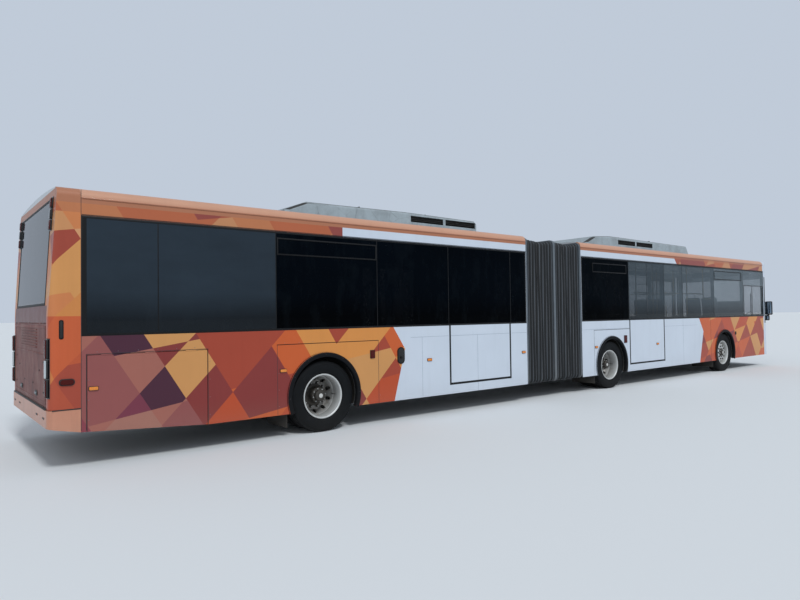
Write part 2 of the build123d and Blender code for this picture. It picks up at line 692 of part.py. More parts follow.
for x in (TAIL_SEAM, engine_rail_end - CROSS_WIDTH):
    engine_rails += box(x, x + CROSS_WIDTH, -rail_inner, rail_inner, ENGINE_RAIL_Z, rail_top)
engine_rails += tow_lug(TAIL_SEAM + 1, TAIL + REAR_TOW_SETBACK, ENGINE_RAIL_Z)
save("rear_underframe", draw, rear_bay, engine_rails)
engine_x = tail_x(ENGINE_START)
save("engine_block", box(
    engine_x, engine_x + ENGINE_LENGTH, -ENGINE_HALF, ENGINE_HALF,
    ENGINE_LOW_Z, ENGINE_LOW_Z + ENGINE_HEIGHT,
))

# Axles that carry twin wheels: a low beam with end cases inside the inner rims
CASE_T = 24
CASE_START_Y = HOUSE_INNER_Y + HOUSE_T + 3
DRUM_R = 190
AIR_SPRING_R = 85
AIR_SPRING_Y = HOUSE_INNER_Y - 155
hub_inner_y = WHEEL_PLANE_Y - TWIN_SPACING + 60
beam_top_z = AXLE_BEAM_LOW_Z + AXLE_BEAM_T


def spring_seat(x, floor_under):
    return rod_z(AIR_SPRING_R, x, AIR_SPRING_Y, beam_top_z - 1, floor_under)


def twin_axle(x, floor_under):
    half = box(x - 90, x + 90, -1, CASE_START_Y + CASE_T, AXLE_BEAM_LOW_Z, beam_top_z)
    half += spring_seat(x, floor_under)
    half += box(x - 110, x + 110, CASE_START_Y, CASE_START_Y + CASE_T, AXLE_BEAM_LOW_Z, TYRE_R + 110)
    half += rod_y(DRUM_R, x, TYRE_R, CASE_START_Y + 10, hub_inner_y - 20)
    half += rod_y(SPINDLE_R, x, TYRE_R, hub_inner_y - 20, hub_inner_y + 40)
    return half + to_right(half)


save("rear_axle", twin_axle(REAR_AXLE, AXLE_DECK_Z - FLOOR_T))

# Steered axle: a dropped beam with an eye at each kingpin
def steered_axle(x):
    half = box(x - 70, x + 70, -1, KINGPIN_Y - 55, AXLE_BEAM_LOW_Z, beam_top_z)
    half += spring_seat(x, FLOOR_UNDER_Z)
    half += box(x - 40, x + 40, KINGPIN_Y - 105, KINGPIN_Y - 55, AXLE_BEAM_LOW_Z, EYE_HIGH_Z)
    half += box(x - EYE_R + 4, x + EYE_R - 4, KINGPIN_Y - 60, KINGPIN_Y, EYE_LOW_Z, EYE_HIGH_Z)
    half += rod_z(EYE_R, x, KINGPIN_Y, EYE_LOW_Z, EYE_HIGH_Z)
    half -= rod_z(KINGPIN_R + BEARING_GAP, x, KINGPIN_Y, EYE_LOW_Z - 1, EYE_HIGH_Z + 1)
    return half + to_right(half)


save("front_axles", steered_axle(FRONT_AXLE), twin_axle(MID_AXLE, FLOOR_UNDER_Z))

# Steering knuckles
lug_low = EYE_LOW_Z - LUG_GAP - LUG_T
lug_high = EYE_HIGH_Z + LUG_GAP + LUG_T
PLATE_START = 52
PLATE_T = 30
front_hub_y = KINGPIN_Y + PLATE_START + PLATE_T + 10


def knuckle():
    x = FRONT_AXLE
    y = KINGPIN_Y
    body = rod_z(EYE_R + 6, x, y, lug_low, lug_low + LUG_T)
    body += rod_z(EYE_R + 6, x, y, lug_high - LUG_T, lug_high)
    body += box(x - 40, x + 40, y, y + PLATE_START + 5, lug_low, lug_low + LUG_T)
    body += box(x - 40, x + 40, y, y + PLATE_START + 5, lug_high - LUG_T, lug_high)
    body += box(x - 60, x + 60, y + PLATE_START, y + PLATE_START + PLATE_T, lug_low, lug_high)
    body += rod_z(KINGPIN_R, x, y, lug_low, lug_high)
    body += rod_y(SPINDLE_R, x, TYRE_R, y + PLATE_START + PLATE_T, WHEEL_PLANE_Y + 25)
    return body


save("knuckle_left", knuckle())
save("knuckle_right", to_right(knuckle()))


# Wheels, modelled with the axle along Y and moved to their places
def tyre():
    half_width = TYRE_WIDTH / 2
    side = (
        Line((RIM_R + SEAT_GAP, 0), (RIM_R + SEAT_GAP, BEAD_HALF - 4))
        + Line((RIM_R + SEAT_GAP, BEAD_HALF - 4), (FLANGE_R + 8, BEAD_HALF - 4))
        + ThreePointArc(
            (FLANGE_R + 8, BEAD_HALF - 4), (395, half_width), (TYRE_R - 22, half_width - 10)
        )
        + Line((TYRE_R - 22, half_width - 10), (TYRE_R - 4, half_width - 24))
        + Line((TYRE_R - 4, half_width - 24), (TYRE_R, 60))
        + Line((TYRE_R, 60), (TYRE_R, 0))
    )
    outline = side + mirror(side, about=Plane.XZ)
    return revolve(make_face(outline), Axis.Y)


def ring_of(points):
    return revolve(make_face(Polyline(*points, close=True)), Axis.Y)


def barrel():
    well = RIM_R - RIM_WALL
    edge = BEAD_HALF + FLANGE_T
    return ring_of([
        (well, -edge), (FLANGE_R, -edge), (FLANGE_R, -BEAD_HALF), (RIM_R, -BEAD_HALF),
        (RIM_R, BEAD_HALF), (FLANGE_R, BEAD_HALF), (FLANGE_R, edge), (well, edge),
    ])


DISC_T = 12
DISC_FLAT_R = 200
HAND_HOLE_OFFSET = 22
TWIN_ROOT_Y = -70
SINGLE_FACE_Y = 58
SINGLE_ROOT_Y = 10
SINGLE_HUB_Y = 90
TWIN_CAP = (78, 55)
SINGLE_CAP = (72, 118)
SPINDLE_BORE = 45
STUB_REACH = 28


def wheel_disc(face_y, root_y):
    well = RIM_R - RIM_WALL + 1
    return ring_of([
        (HUB_R - 1, face_y), (DISC_FLAT_R, face_y), (well, root_y),
        (well, root_y + DISC_T * 1.4), (DISC_FLAT_R, face_y + DISC_T), (HUB_R - 1, face_y + DISC_T),
    ])


def hand_holes(y0, y1):
    hole = rod_y(HAND_HOLE_R, DISC_FLAT_R + HAND_HOLE_OFFSET, 0, y0, y1)
    return [Rot(0, 360 * i / HAND_HOLE_COUNT, 0) * hole for i in range(HAND_HOLE_COUNT)]


def hub(y0, y1, cap_r, cap_y, bore_depth):
    body = rod_y(HUB_R, 0, 0, y0, y1) + rod_y(cap_r, 0, 0, y1 - 1, cap_y)
    return body - rod_y(SPINDLE_R + BEARING_GAP, 0, 0, y0 - 1, y0 + bore_depth)


def twin_rim():
    mid = -TWIN_SPACING / 2
    outer = barrel() + wheel_disc(mid, TWIN_ROOT_Y)
    inner = mirror(outer, about=Plane.XZ.offset(-mid))
    rim = outer + inner
    for hole in hand_holes(mid - 90, mid + 90):
        rim -= hole
    start = hub_inner_y - WHEEL_PLANE_Y
    return rim + hub(start, 0, *TWIN_CAP, SPINDLE_BORE)


def single_rim():
    rim = barrel() + wheel_disc(SINGLE_FACE_Y, SINGLE_ROOT_Y)
    for hole in hand_holes(-20, 100):
        rim -= hole
    start = front_hub_y - WHEEL_PLANE_Y
    return rim + hub(start, SINGLE_HUB_Y, *SINGLE_CAP, WHEEL_PLANE_Y + STUB_REACH - front_hub_y)


one_tyre = tyre()
inner_tyre = Pos(0, -TWIN_SPACING, 0) * one_tyre
wheel_sets = [
    ("rear", REAR_AXLE, [one_tyre, inner_tyre], twin_rim()),
    ("mid", MID_AXLE, [one_tyre, inner_tyre], twin_rim()),
    ("front", FRONT_AXLE, [one_tyre], single_rim()),
]
for name, x, tyres, rim in wheel_sets:
    place = Pos(x, WHEEL_PLANE_Y, TYRE_R)
    left_tyres = [place * t for t in tyres]
    save(f"{name}_tyre_left", *left_tyres)
    save(f"{name}_tyre_right", *[to_right(t) for t in left_tyres])
    save(f"{name}_rim_left", place * rim)
    save(f"{name}_rim_right", to_right(place * rim))


# Joint: end portals, bellows, centre hoop and gangway floor
def ring_outline(half, low, high, corner):
    frame = RectangleRounded(2 * half, high - low, corner)
    return Pos(0, (high + low) / 2) * frame


PORTAL_OPEN_HALF = HALF - 240
PORTAL_OPEN_TOP = 2560
portal_face = ring_outline(BELLOWS_HALF + 6, BELLOWS_LOW_Z, BELLOWS_TOP_Z + 8, 90)
portal_hole = Pos(0, (FLOOR_Z + PORTAL_OPEN_TOP) / 2) * Rectangle(
    2 * PORTAL_OPEN_HALF, PORTAL_OPEN_TOP - FLOOR_Z
)
portal_face -= portal_hole
save("rear_joint_portal", prism_x(portal_face, REAR_END, REAR_END + PORTAL_T))
save("front_joint_portal", prism_x(portal_face, FRONT_START - PORTAL_T, FRONT_START))


def pleat_face(half, low, high, corner):
    points = []
    centres = [(half - corner, high - corner, 0), (corner - half, high - corner, 90)]
    centres += [(corner - half, low + corner, 180), (half - corner, low + corner, 270)]
    for y, z, start in centres:
        for turn in (0, 45, 90):
            angle = math.radians(start + turn)
            points.append((y + corner * math.cos(angle), z + corner * math.sin(angle)))
    return make_face(Polyline(*points, close=True))


def bellows_half(x0, x1, inset):
    sections = []
    steps = 2 * PLEATS
    for i in range(steps + 1):
        t = i / steps
        depth = inset + (PLEAT_DEPTH if i % 2 == 0 else 0)
        sag = ROOF_SAG * math.sin(math.pi * t)
        face = pleat_face(
            BELLOWS_HALF - depth, BELLOWS_LOW_Z + depth, BELLOWS_TOP_Z - depth - sag, 90 - depth / 2
        )
        sections.append(Plane.YZ.offset(x0 + (x1 - x0) * t) * face)
    return loft(sections, ruled=True)


def bellows(x0, x1):
    return bellows_half(x0, x1, 0) - bellows_half(x0, x1, FABRIC_T)


save("rear_bellows", bellows(REAR_END + PORTAL_T + SEAT_GAP, PIVOT - HOOP_T / 2 - SEAT_GAP))
save("front_bellows", bellows(PIVOT + HOOP_T / 2 + SEAT_GAP, FRONT_START - PORTAL_T - SEAT_GAP))

hoop_face = ring_outline(BELLOWS_HALF + 4, BELLOWS_LOW_Z - 2, BELLOWS_TOP_Z + 6, 90)
hoop_face -= ring_outline(
    BELLOWS_HALF + 4 - HOOP_BAR, FLOOR_Z - GANGWAY_FLOOR_T, BELLOWS_TOP_Z + 6 - HOOP_BAR, 40
)
hoop = prism_x(hoop_face, PIVOT - HOOP_T / 2, PIVOT + HOOP_T / 2)
hoop += rod_z(PIVOT_PIN_R + 20, PIVOT, 0, front_ring_top + SEAT_GAP, BELLOWS_LOW_Z - 2)
save("centre_hoop", hoop)
gangway_r = JOINT_GAP / 2 - PORTAL_T - SEAM
save("gangway_floor", rod_z(gangway_r, PIVOT, 0, FLOOR_Z - GANGWAY_FLOOR_T, FLOOR_Z))


# Door leaves: a framed panel with a recessed pane, turning on its rounded post edge
def door_leaf(distance, at_rear_post):
    leaf_length = (DOOR_WIDTH - 2 * SEAM - DOOR_MEETING_GAP) / 2
    low = SKIRT_Z + 20
    round_r = DOOR_T / 2
    leaf = box(round_r, leaf_length, -round_r, round_r, low, DOOR_TOP_Z)
    leaf += rod_z(round_r, round_r, 0, low, DOOR_TOP_Z)
    leaf += rod_z(DOOR_PIN_R, round_r, 0, DOOR_TOP_Z - 1, DOOR_TOP_Z + SEAM + DOOR_PIN_REACH)
    for z0, z1 in ((low + DOOR_FRAME, 1150), (1150 + DOOR_FRAME, DOOR_TOP_Z - DOOR_FRAME)):
        for side in (1, -1):
            depth = round_r - GLASS_T / 2
            y0, y1 = sorted((side * (round_r + 1), side * (round_r - depth)))
            leaf -= box(DOOR_FRAME, leaf_length - DOOR_FRAME, y0, y1, z0, z1)
    if at_rear_post:
        return Pos(tail_x(distance) + SEAM, door_mid_y, 0) * leaf
    flipped = mirror(leaf, about=Plane.YZ)
    return Pos(tail_x(distance) + DOOR_WIDTH - SEAM, door_mid_y, 0) * flipped


for name, distance in (("rear", REAR_DOOR), ("centre", CENTRE_DOOR), ("front", FRONT_DOOR)):
    save(f"{name}_door_aft_leaf", door_leaf(distance, True))
    save(f"{name}_door_fore_leaf", door_leaf(distance, False))

# Seats: benches for two with one back each side, on pedestals or on the wheel houses
BENCH_WIDTH = 860
BENCH_PITCH = 780
CUSHION_T = 70
CUSHION_DEPTH = 430
SEAT_HEIGHT = 430
BACK_HEIGHT = 640
HOUSE_SEAT_HEIGHT = 130
BACK_T = 60
WALL_CLEARANCE = 12


def bench(x, floor_z, pedestal):
    y1 = CABIN_HALF - WALL_CLEARANCE
    y0 = y1 - BENCH_WIDTH
    top = floor_z + pedestal
    seat = box(x, x + CUSHION_DEPTH, y0, y1, top - CUSHION_T, top)
    back = [
        (x + 40, top - CUSHION_T), (x + 40 + BACK_T, top - CUSHION_T),
        (x - 60 + BACK_T, top + BACK_HEIGHT), (x - 60, top + BACK_HEIGHT),
    ]
    seat += prism_y(back, y0, y1)
    mid = (y0 + y1) / 2
    seat -= box(x - 100, x + CUSHION_DEPTH + 1, mid - 8, mid + 8, top - 25, top + BACK_HEIGHT + 1)
    seat += box(x + 120, x + 220, y0 + 300, y1 - 300, floor_z + SEAT_GAP, top - CUSHION_T)
    return seat


FIRST_BENCH = 420
FIRST_LOW_BENCH = 372
HOUSE_BENCH_BACK = 170
DECK_BENCH_GAP = 150
house_top = ARCH_Z + HOUSE_R + HOUSE_T
low_bench_start = tail_x(CENTRE_DOOR + DOOR_WIDTH + FIRST_LOW_BENCH)
low_bench_xs = [low_bench_start, low_bench_start + BENCH_PITCH]
front_house_xs = [MID_AXLE - HOUSE_BENCH_BACK, FRONT_AXLE - HOUSE_BENCH_BACK]
front_benches = [bench(x, FLOOR_Z, SEAT_HEIGHT) for x in low_bench_xs]
front_benches += [bench(x, house_top, HOUSE_SEAT_HEIGHT) for x in front_house_xs]
save("front_seats", *[s for b in front_benches for s in both_sides(b)])
deck_bench_xs = [tail_x(FIRST_BENCH + BENCH_PITCH * i) for i in range(3)]
rear_house_x = REAR_AXLE - HOUSE_BENCH_BACK
last_bench_x = low_deck_start + DECK_BENCH_GAP
rear_benches = [bench(x, REAR_DECK_Z, SEAT_HEIGHT) for x in deck_bench_xs]
rear_benches.append(bench(rear_house_x, house_top, HOUSE_SEAT_HEIGHT))
rear_benches.append(bench(last_bench_x, FLOOR_Z, SEAT_HEIGHT))
save("rear_seats", *[s for b in rear_benches for s in both_sides(b)])

# Roofs: the crowned skin, the ceiling between the walls, and the grab poles and rails below it
CEILING_Z = 2725
CEILING_T = 12
POLE_R = 16
POLE_Y = 420
POLE_BEHIND_BENCH = 110
POLE_BEFORE_DOOR = 130
GRAB_RAIL_R = 15
GRAB_RAIL_Z = 2030
GRAB_RAIL_END = 40
grab_rail_y = POLE_Y - POLE_R - GRAB_RAIL_R - SEAT_GAP
roof_face = section_face(0, CORNICE_Z) - section_face(ROOF_T, CORNICE_Z - 1)


def roof_and_ceiling(start, end):
    half = CABIN_HALF - SEAT_GAP
    panel = box(start + SEAM, end - SEAM, -half, half, CEILING_Z, CEILING_Z + CEILING_T)
    return [prism_x(roof_face, start, end), panel]


def bench_pole(x, floor_z):
    return x - POLE_BEHIND_BENCH, floor_z


def door_pole(distance):
    return tail_x(distance) - POLE_BEFORE_DOOR, FLOOR_Z


def grab_row(places):
    bars = [
        rod_z(POLE_R, x, POLE_Y, floor_z + SEAT_GAP, CEILING_Z - SEAT_GAP) for x, floor_z in places
    ]
    first, last = places[0][0] - GRAB_RAIL_END, places[-1][0] + GRAB_RAIL_END
    bars.append(rod_x(GRAB_RAIL_R, grab_rail_y, GRAB_RAIL_Z, first, last))
    return [s for bar in bars for s in both_sides(bar)]


rear_row = [bench_pole(x, REAR_DECK_Z) for x in deck_bench_xs[1:]]
rear_row += [bench_pole(rear_house_x, AXLE_DECK_Z), bench_pole(last_bench_x, FLOOR_Z)]
rear_row.append(door_pole(REAR_DOOR))
middle_row = [bench_pole(front_house_xs[0], FLOOR_Z), door_pole(CENTRE_DOOR)]
front_row = [bench_pole(x, FLOOR_Z) for x in low_bench_xs + front_house_xs[1:]]
front_row.append(door_pole(FRONT_DOOR))
save("rear_roof", *roof_and_ceiling(TAIL_SEAM, REAR_END), *grab_row(rear_row))
save(
    "front_roof", *roof_and_ceiling(FRONT_START, MASK_SEAM), *grab_row(middle_row),
    *grab_row(front_row),
)

# Driver's station on the right: seat, dashboard with its wheel, and the screen behind
DRIVER_Y = 470 - CABIN_HALF
SEAT_SETBACK = 1000
SEAT_HALF = 230
SEAT_BASE_HALF = 120
CUSHION_LOW = 420
DRIVER_BACK_TOP = 1180
DASH_DEPTH = 420
DASH_HALF = 470
COLUMN_TILT = 60
STEERING_R = 235
STEERING_BAR = 16
STEERING_SETBACK = 530
PARTITION_SETBACK = 1250
PARTITION_T = 25
PARTITION_TOP = 1450
driver_x = MASK_SEAM - SEAT_SETBACK
cushion_z = FLOOR_Z + CUSHION_LOW
back_top_z = FLOOR_Z + DRIVER_BACK_TOP
driver_seat = box(
    driver_x, driver_x + 450, DRIVER_Y - SEAT_HALF, DRIVER_Y + SEAT_HALF, cushion_z, cushion_z + 80
)
driver_back = [
    (driver_x, cushion_z), (driver_x + 90, cushion_z),
    (driver_x - 10, back_top_z), (driver_x - 100, back_top_z),
]
driver_seat += prism_y(driver_back, DRIVER_Y - SEAT_HALF + 10, DRIVER_Y + SEAT_HALF - 10)
driver_seat += box(
    driver_x + 100, driver_x + 350, DRIVER_Y - SEAT_BASE_HALF, DRIVER_Y + SEAT_BASE_HALF,
    FLOOR_Z + SEAT_GAP, cushion_z + 1,
)
dash_x = MASK_SEAM - DASH_DEPTH
dash_profile = [
    (dash_x, FLOOR_Z + SEAT_GAP), (MASK_SEAM, FLOOR_Z + SEAT_GAP), (MASK_SEAM, SCREEN_LOW_Z - 20),
    (dash_x + 90, SCREEN_LOW_Z - 30), (dash_x - 30, SCREEN_LOW_Z - 160),
]
dash = prism_y(dash_profile, -CABIN_HALF + WALL_CLEARANCE, DRIVER_Y + DASH_HALF)
column = Pos(dash_x - 10, DRIVER_Y, SCREEN_LOW_Z - 190) * Rot(0, -COLUMN_TILT, 0)
dash += column * Cylinder(30, 220)
wheel = Pos(MASK_SEAM - STEERING_SETBACK, DRIVER_Y, SCREEN_LOW_Z - 130) * Rot(0, -COLUMN_TILT, 0)
dash += wheel * Torus(STEERING_R, STEERING_BAR)
dash += wheel * Box(30, 2 * STEERING_R - STEERING_BAR, 14)
partition_x = MASK_SEAM - PARTITION_SETBACK
partition = box(
    partition_x, partition_x + PARTITION_T, -CABIN_HALF + WALL_CLEARANCE, DRIVER_Y + 300,
    FLOOR_Z + SEAT_GAP, FLOOR_Z + PARTITION_TOP,
)
save("driver_station", driver_seat, dash, partition)

# Mirrors at the front corners: a tall head over a small one, on an arm that leans out from the nose
MIRROR_T = 75
MIRROR_EDGE_R = 28
MIRROR_Y = HALF + 45
MIRROR_WIDTH = 180
MIRROR_LOW_Z = 1425
MIRROR_HIGH_Z = 1810
SMALL_MIRROR_Y = HALF - 10
SMALL_MIRROR_WIDTH = 130
SMALL_MIRROR_LOW_Z = 1265
ARM_HALF = 14
ARM_FOOT_R = 26
ARM_FOOT_Y = HALF - 150
ARM_FOOT_Z = SCREEN_LOW_Z - 45
mirror_x = NOSE + 10


def mirror_head(y, width, low_z, high_z):
    head = Pos(mirror_x, y, (low_z + high_z) / 2) * Box(MIRROR_T, width, high_z - low_z)
    return fillet(head.edges(), MIRROR_EDGE_R)


def door_mirror():
    heads = mirror_head(MIRROR_Y, MIRROR_WIDTH, MIRROR_LOW_Z, MIRROR_HIGH_Z)
    heads += mirror_head(SMALL_MIRROR_Y, SMALL_MIRROR_WIDTH, SMALL_MIRROR_LOW_Z, MIRROR_LOW_Z - SEAM)
    arm_top_z = MIRROR_LOW_Z + MIRROR_EDGE_R
    bar = make_face(Polyline(
        (ARM_FOOT_Y - ARM_HALF, ARM_FOOT_Z), (ARM_FOOT_Y + ARM_HALF, ARM_FOOT_Z),
        (MIRROR_Y + ARM_HALF, arm_top_z), (MIRROR_Y - ARM_HALF, arm_top_z), close=True,
    ))
    arm = prism_x(bar, mirror_x - ARM_HALF, mirror_x + ARM_HALF)
    arm += rod_x(ARM_FOOT_R, ARM_FOOT_Y, ARM_FOOT_Z, NOSE - 2 * NOSE_BOW, mirror_x + ARM_HALF)
    arm -= mask_skin
    return heads + arm


save("mirrors", *both_sides(door_mirror()))
print("built", len(os.listdir("parts")), "parts")
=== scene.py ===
import math
import random
from functools import partialmethod

import bmesh
import bpy
from mathutils import Matrix, Vector


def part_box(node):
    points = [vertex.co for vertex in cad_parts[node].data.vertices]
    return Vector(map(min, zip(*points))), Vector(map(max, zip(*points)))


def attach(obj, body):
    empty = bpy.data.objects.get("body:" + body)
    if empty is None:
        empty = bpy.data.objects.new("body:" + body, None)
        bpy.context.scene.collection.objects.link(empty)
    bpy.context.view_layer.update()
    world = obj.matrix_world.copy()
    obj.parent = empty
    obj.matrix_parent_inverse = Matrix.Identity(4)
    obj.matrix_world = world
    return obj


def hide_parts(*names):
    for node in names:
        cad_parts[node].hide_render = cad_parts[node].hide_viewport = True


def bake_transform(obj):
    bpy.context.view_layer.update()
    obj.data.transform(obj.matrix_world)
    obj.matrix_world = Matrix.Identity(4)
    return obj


# Looks of the articulated bus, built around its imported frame.
# Metres. X forward, Y to the left, Z up, the origin on the ground midway between tail and nose.
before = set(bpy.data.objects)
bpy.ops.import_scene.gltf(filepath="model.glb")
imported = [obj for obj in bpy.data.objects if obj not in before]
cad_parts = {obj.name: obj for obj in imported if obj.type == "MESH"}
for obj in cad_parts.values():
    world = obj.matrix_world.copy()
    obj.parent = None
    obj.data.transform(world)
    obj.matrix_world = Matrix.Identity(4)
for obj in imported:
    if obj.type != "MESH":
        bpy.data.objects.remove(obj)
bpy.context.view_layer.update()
random.seed(11)


def centre_of(node):
    low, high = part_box(node)
    return (low + high) / 2


# Places read from the frame
TAIL_CAP = 0.296
MASK = 0.235
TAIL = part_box("rear_side_right")[0].x - TAIL_CAP
REAR_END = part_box("rear_side_right")[1].x
FRONT_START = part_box("front_side_right")[0].x
MASK_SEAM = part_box("front_side_right")[1].x
NOSE = MASK_SEAM + MASK
TAIL_SEAM = TAIL + TAIL_CAP
LENGTH = NOSE - TAIL
PIVOT = (REAR_END + FRONT_START) / 2
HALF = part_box("rear_roof")[1].y
REAR_AXLE = centre_of("rear_rim_right").x
MID_AXLE = centre_of("mid_rim_right").x
FRONT_AXLE = centre_of("front_tyre_right").x
AXLE_Z = centre_of("front_tyre_right").z

# Heights and thicknesses of the body
SKIRT = 0.305
BELT_SEAM = 1.225
BELT = 1.396
WINDOW_TOP = 2.654
CORNICE = 2.79
ROOF_EDGE = 2.945
ROOF_CROWN = 3.0
GUTTER = ROOF_EDGE - 0.098
RAKE_START = 1.6
CABIN_HALF = HALF - 0.06
FLOOR = 0.37
AXLE_DECK = 0.62
REAR_DECK = 0.92
HOUSE_TOP = 1.16
SCREEN_LOW = 1.2
SCREEN_TOP = 2.5
WHEEL_PLANE = 1.075
TWIN_SPACING = 0.31
ARCH_R = 0.52
ARCH_Z = 0.5

LEFT = Matrix.Identity(4)
RIGHT = Matrix.Scale(-1, 4, (0, 1, 0))
BOTH = [LEFT, RIGHT]


def at(distance):
    """X of a place given as its distance forward of the tail."""
    return TAIL + distance


# Mesh helpers: those with a shape's name return it as a bmesh made by operators
def bevel(bm, edges, offset, segments=2):
    bmesh.ops.bevel(
        bm, geom=edges, offset=offset, segments=segments, profile=0.5, affect="EDGES", material=-1
    )


def block(low, high):
    bm = bmesh.new()
    low, high = Vector(low), Vector(high)
    place = Matrix.Translation((low + high) / 2) @ Matrix.Diagonal((*(high - low), 1))
    bmesh.ops.create_cube(bm, size=1, matrix=place)
    bm.normal_update()
    return bm


def slab(low, high, soften=0.003, steps=2):
    bm = block(low, high)
    bevel(bm, bm.edges[:], min(soften, min(Vector(high) - Vector(low)) * 0.45), steps)
    return bm


def plate(across, centre, halves, ends, corner, soften=0.002):
    """A plate with round corners facing along one axis, between two ends on that axis.

    Its centre and its half sizes are given on the other two axes.
    """
    low = [c - half for c, half in zip(centre, halves)]
    high = [c + half for c, half in zip(centre, halves)]
    low.insert(across, ends[0])
    high.insert(across, ends[1])
    bm = block(low, high)
    posts = [e for e in bm.edges if abs((e.verts[0].co - e.verts[1].co)[across]) > 1e-6]
    bevel(bm, posts, corner, 6)
    bm.normal_update()
    rims = [e for e in bm.edges if abs((e.verts[0].co - e.verts[1].co)[across]) < 1e-6]
    bevel(bm, [e for e in rims if any(abs(f.normal[across]) > 0.9 for f in e.link_faces)], soften)
    return bm


def on_flank(x, z, half_x, half_z, low, high, corner, soften=0.002):
    """A plate on the body's side, from low to high beyond it."""
    return plate(1, (x, z), (half_x, half_z), (HALF + low, HALF + high), corner, soften)


def rod(start, end, radius, sides=14, end_radius=None, soften=0.0):
    bm = bmesh.new()
    start, end = Vector(start), Vector(end)
    along = end - start
    place = Matrix.Translation((start + end) / 2) @ along.to_track_quat("Z", "Y").to_matrix().to_4x4()
    bmesh.ops.create_cone(
        bm, cap_ends=True, segments=sides, radius1=radius,
        radius2=radius if end_radius is None else end_radius, depth=along.length, matrix=place,
    )
    if soften:
        bevel(bm, [e for e in bm.edges if any(len(f.verts) == sides for f in e.link_faces)], soften)
    return bm


def pin(x, z, y0, y1, *size, soften=0.0):
    """A rod across the bus."""
    return rod((x, y0, z), (x, y1, z), *size, soften=soften)


def frame_ring(low, high, width, across=1, soften=0.0015):
    """A flat rectangular ring, such as a gasket or a window frame."""
    bm = block(low, high)
    sides = [f for f in bm.faces if abs(f.normal[across]) > 0.9]
    bmesh.ops.inset_individual(bm, faces=sides, thickness=width, use_even_offset=True)
    rims = list({e for f in sides for e in f.edges})
    bmesh.ops.delete(bm, geom=sides, context="FACES_ONLY")
    bmesh.ops.bridge_loops(bm, edges=rims)
    bm.normal_update()
    bevel(bm, bm.edges[:], soften, 1)
    return bm


def chain(bm, places, closed=True):
    """Vertices at the places, joined by edges in that order."""
    verts = [bm.verts.new(place) for place in places]
    nexts = verts[1:] + verts[:1] if closed else verts[1:]
    return verts + [bm.edges.new(pair) for pair in zip(verts, nexts)]


def lathe(points, x, z, steps=72, closed=True):
    """A turned ring or cap about the line along Y through (x, z). Points are (radius, y)."""
    bm = bmesh.new()
    outline = chain(bm, [(x + r, y, z) for r, y in points], closed)
    bmesh.ops.spin(
        bm, geom=outline, cent=(x, 0, z), axis=(0, 1, 0), angle=2 * math.pi, steps=steps, use_merge=True
    )
    bmesh.ops.remove_doubles(bm, verts=bm.verts, dist=1e-5)
    return bm


def arc_band(points, x, z, first, last, steps):
    """A band swept round the arch centre (x, z) between two angles. Points are (radius, y)."""
    bm = bmesh.new()
    turn = math.radians(first)
    outline = chain(bm, [(x + r * math.cos(turn), y, z + r * math.sin(turn)) for r, y in points])
    bmesh.ops.spin(
        bm, geom=outline, cent=(x, 0, z), axis=(0, -1, 0), angle=math.radians(last - first), steps=steps
    )
    bmesh.ops.holes_fill(bm, edges=bm.edges, sides=0)
    return bm


def add_object(name, data):
    made = bpy.data.objects.new(name, data)
    bpy.context.scene.collection.objects.link(made)
    return made


def link(name, bm):
    """A new object with the bmesh as its mesh."""
    mesh = bpy.data.meshes.new(name)
    bm.to_mesh(mesh)
    bm.free()
    return add_object(name, mesh)


def cut_away(solid, tool):
    """The first bmesh with the second taken out of it."""
    objects = []
    for name, bm in (("solid", solid), ("tool", tool)):
        bmesh.ops.recalc_face_normals(bm, faces=bm.faces)
        objects.append(link(name, bm))
    cut = objects[0].modifiers.new("cut", "BOOLEAN")
    cut.operation = "DIFFERENCE"
    cut.solver = "EXACT"
    cut.object = objects[1]
    graph = bpy.context.evaluated_depsgraph_get()
    result = bmesh.new()
    result.from_mesh(objects[0].evaluated_get(graph).to_mesh())
    for shape in objects:
        bpy.data.objects.remove(shape)
    return result


def gather(whole, part, copies=(LEFT,)):
    """Adds a bmesh to another one at each of some places, and frees it."""
    mesh = bpy.data.meshes.new("part")
    part.to_mesh(mesh)
    part.free()
    for place in copies:
        copy = mesh.copy()
        copy.transform(place)
        if place.determinant() < 0:
            copy.flip_normals()
        whole.from_mesh(copy)
        bpy.data.meshes.remove(copy)
    bpy.data.meshes.remove(mesh)


class Piece:
    """A named piece in the making: parts go into one mesh, each with one of its finishes."""

    def __init__(self, name, *finishes):
        self.name = name
        self.finishes = finishes
        self.whole = bmesh.new()

    def add(self, part, finish=0, copies=(LEFT,)):
        bmesh.ops.recalc_face_normals(part, faces=part.faces)
        for face in part.faces:
            face.material_index = finish
        gather(self.whole, part, copies)

    def done(self, body, replaces=(), sharp=38):
        limit = math.radians(sharp)
        self.whole.normal_update()
        for face in self.whole.faces:
            face.smooth = True
        for edge in self.whole.edges:
            edge.smooth = edge.is_manifold and edge.calc_face_angle(0) < limit
        made = link(self.name, self.whole)
        for finish in self.finishes:
            made.data.materials.append(finish)
        if replaces:
            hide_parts(*replaces)
        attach(made, body)
        return made


# Materials
def tint(code):
    """Scene-linear colour of a paint given as its usual hex code."""
    parts = [int(code[i:i + 2], 16) / 255 for i in (1, 3, 5)]
    return tuple(((c + 0.055) / 1.055) ** 2.4 if c > 0.04045 else c / 12.92 for c in parts) + (1.0,)


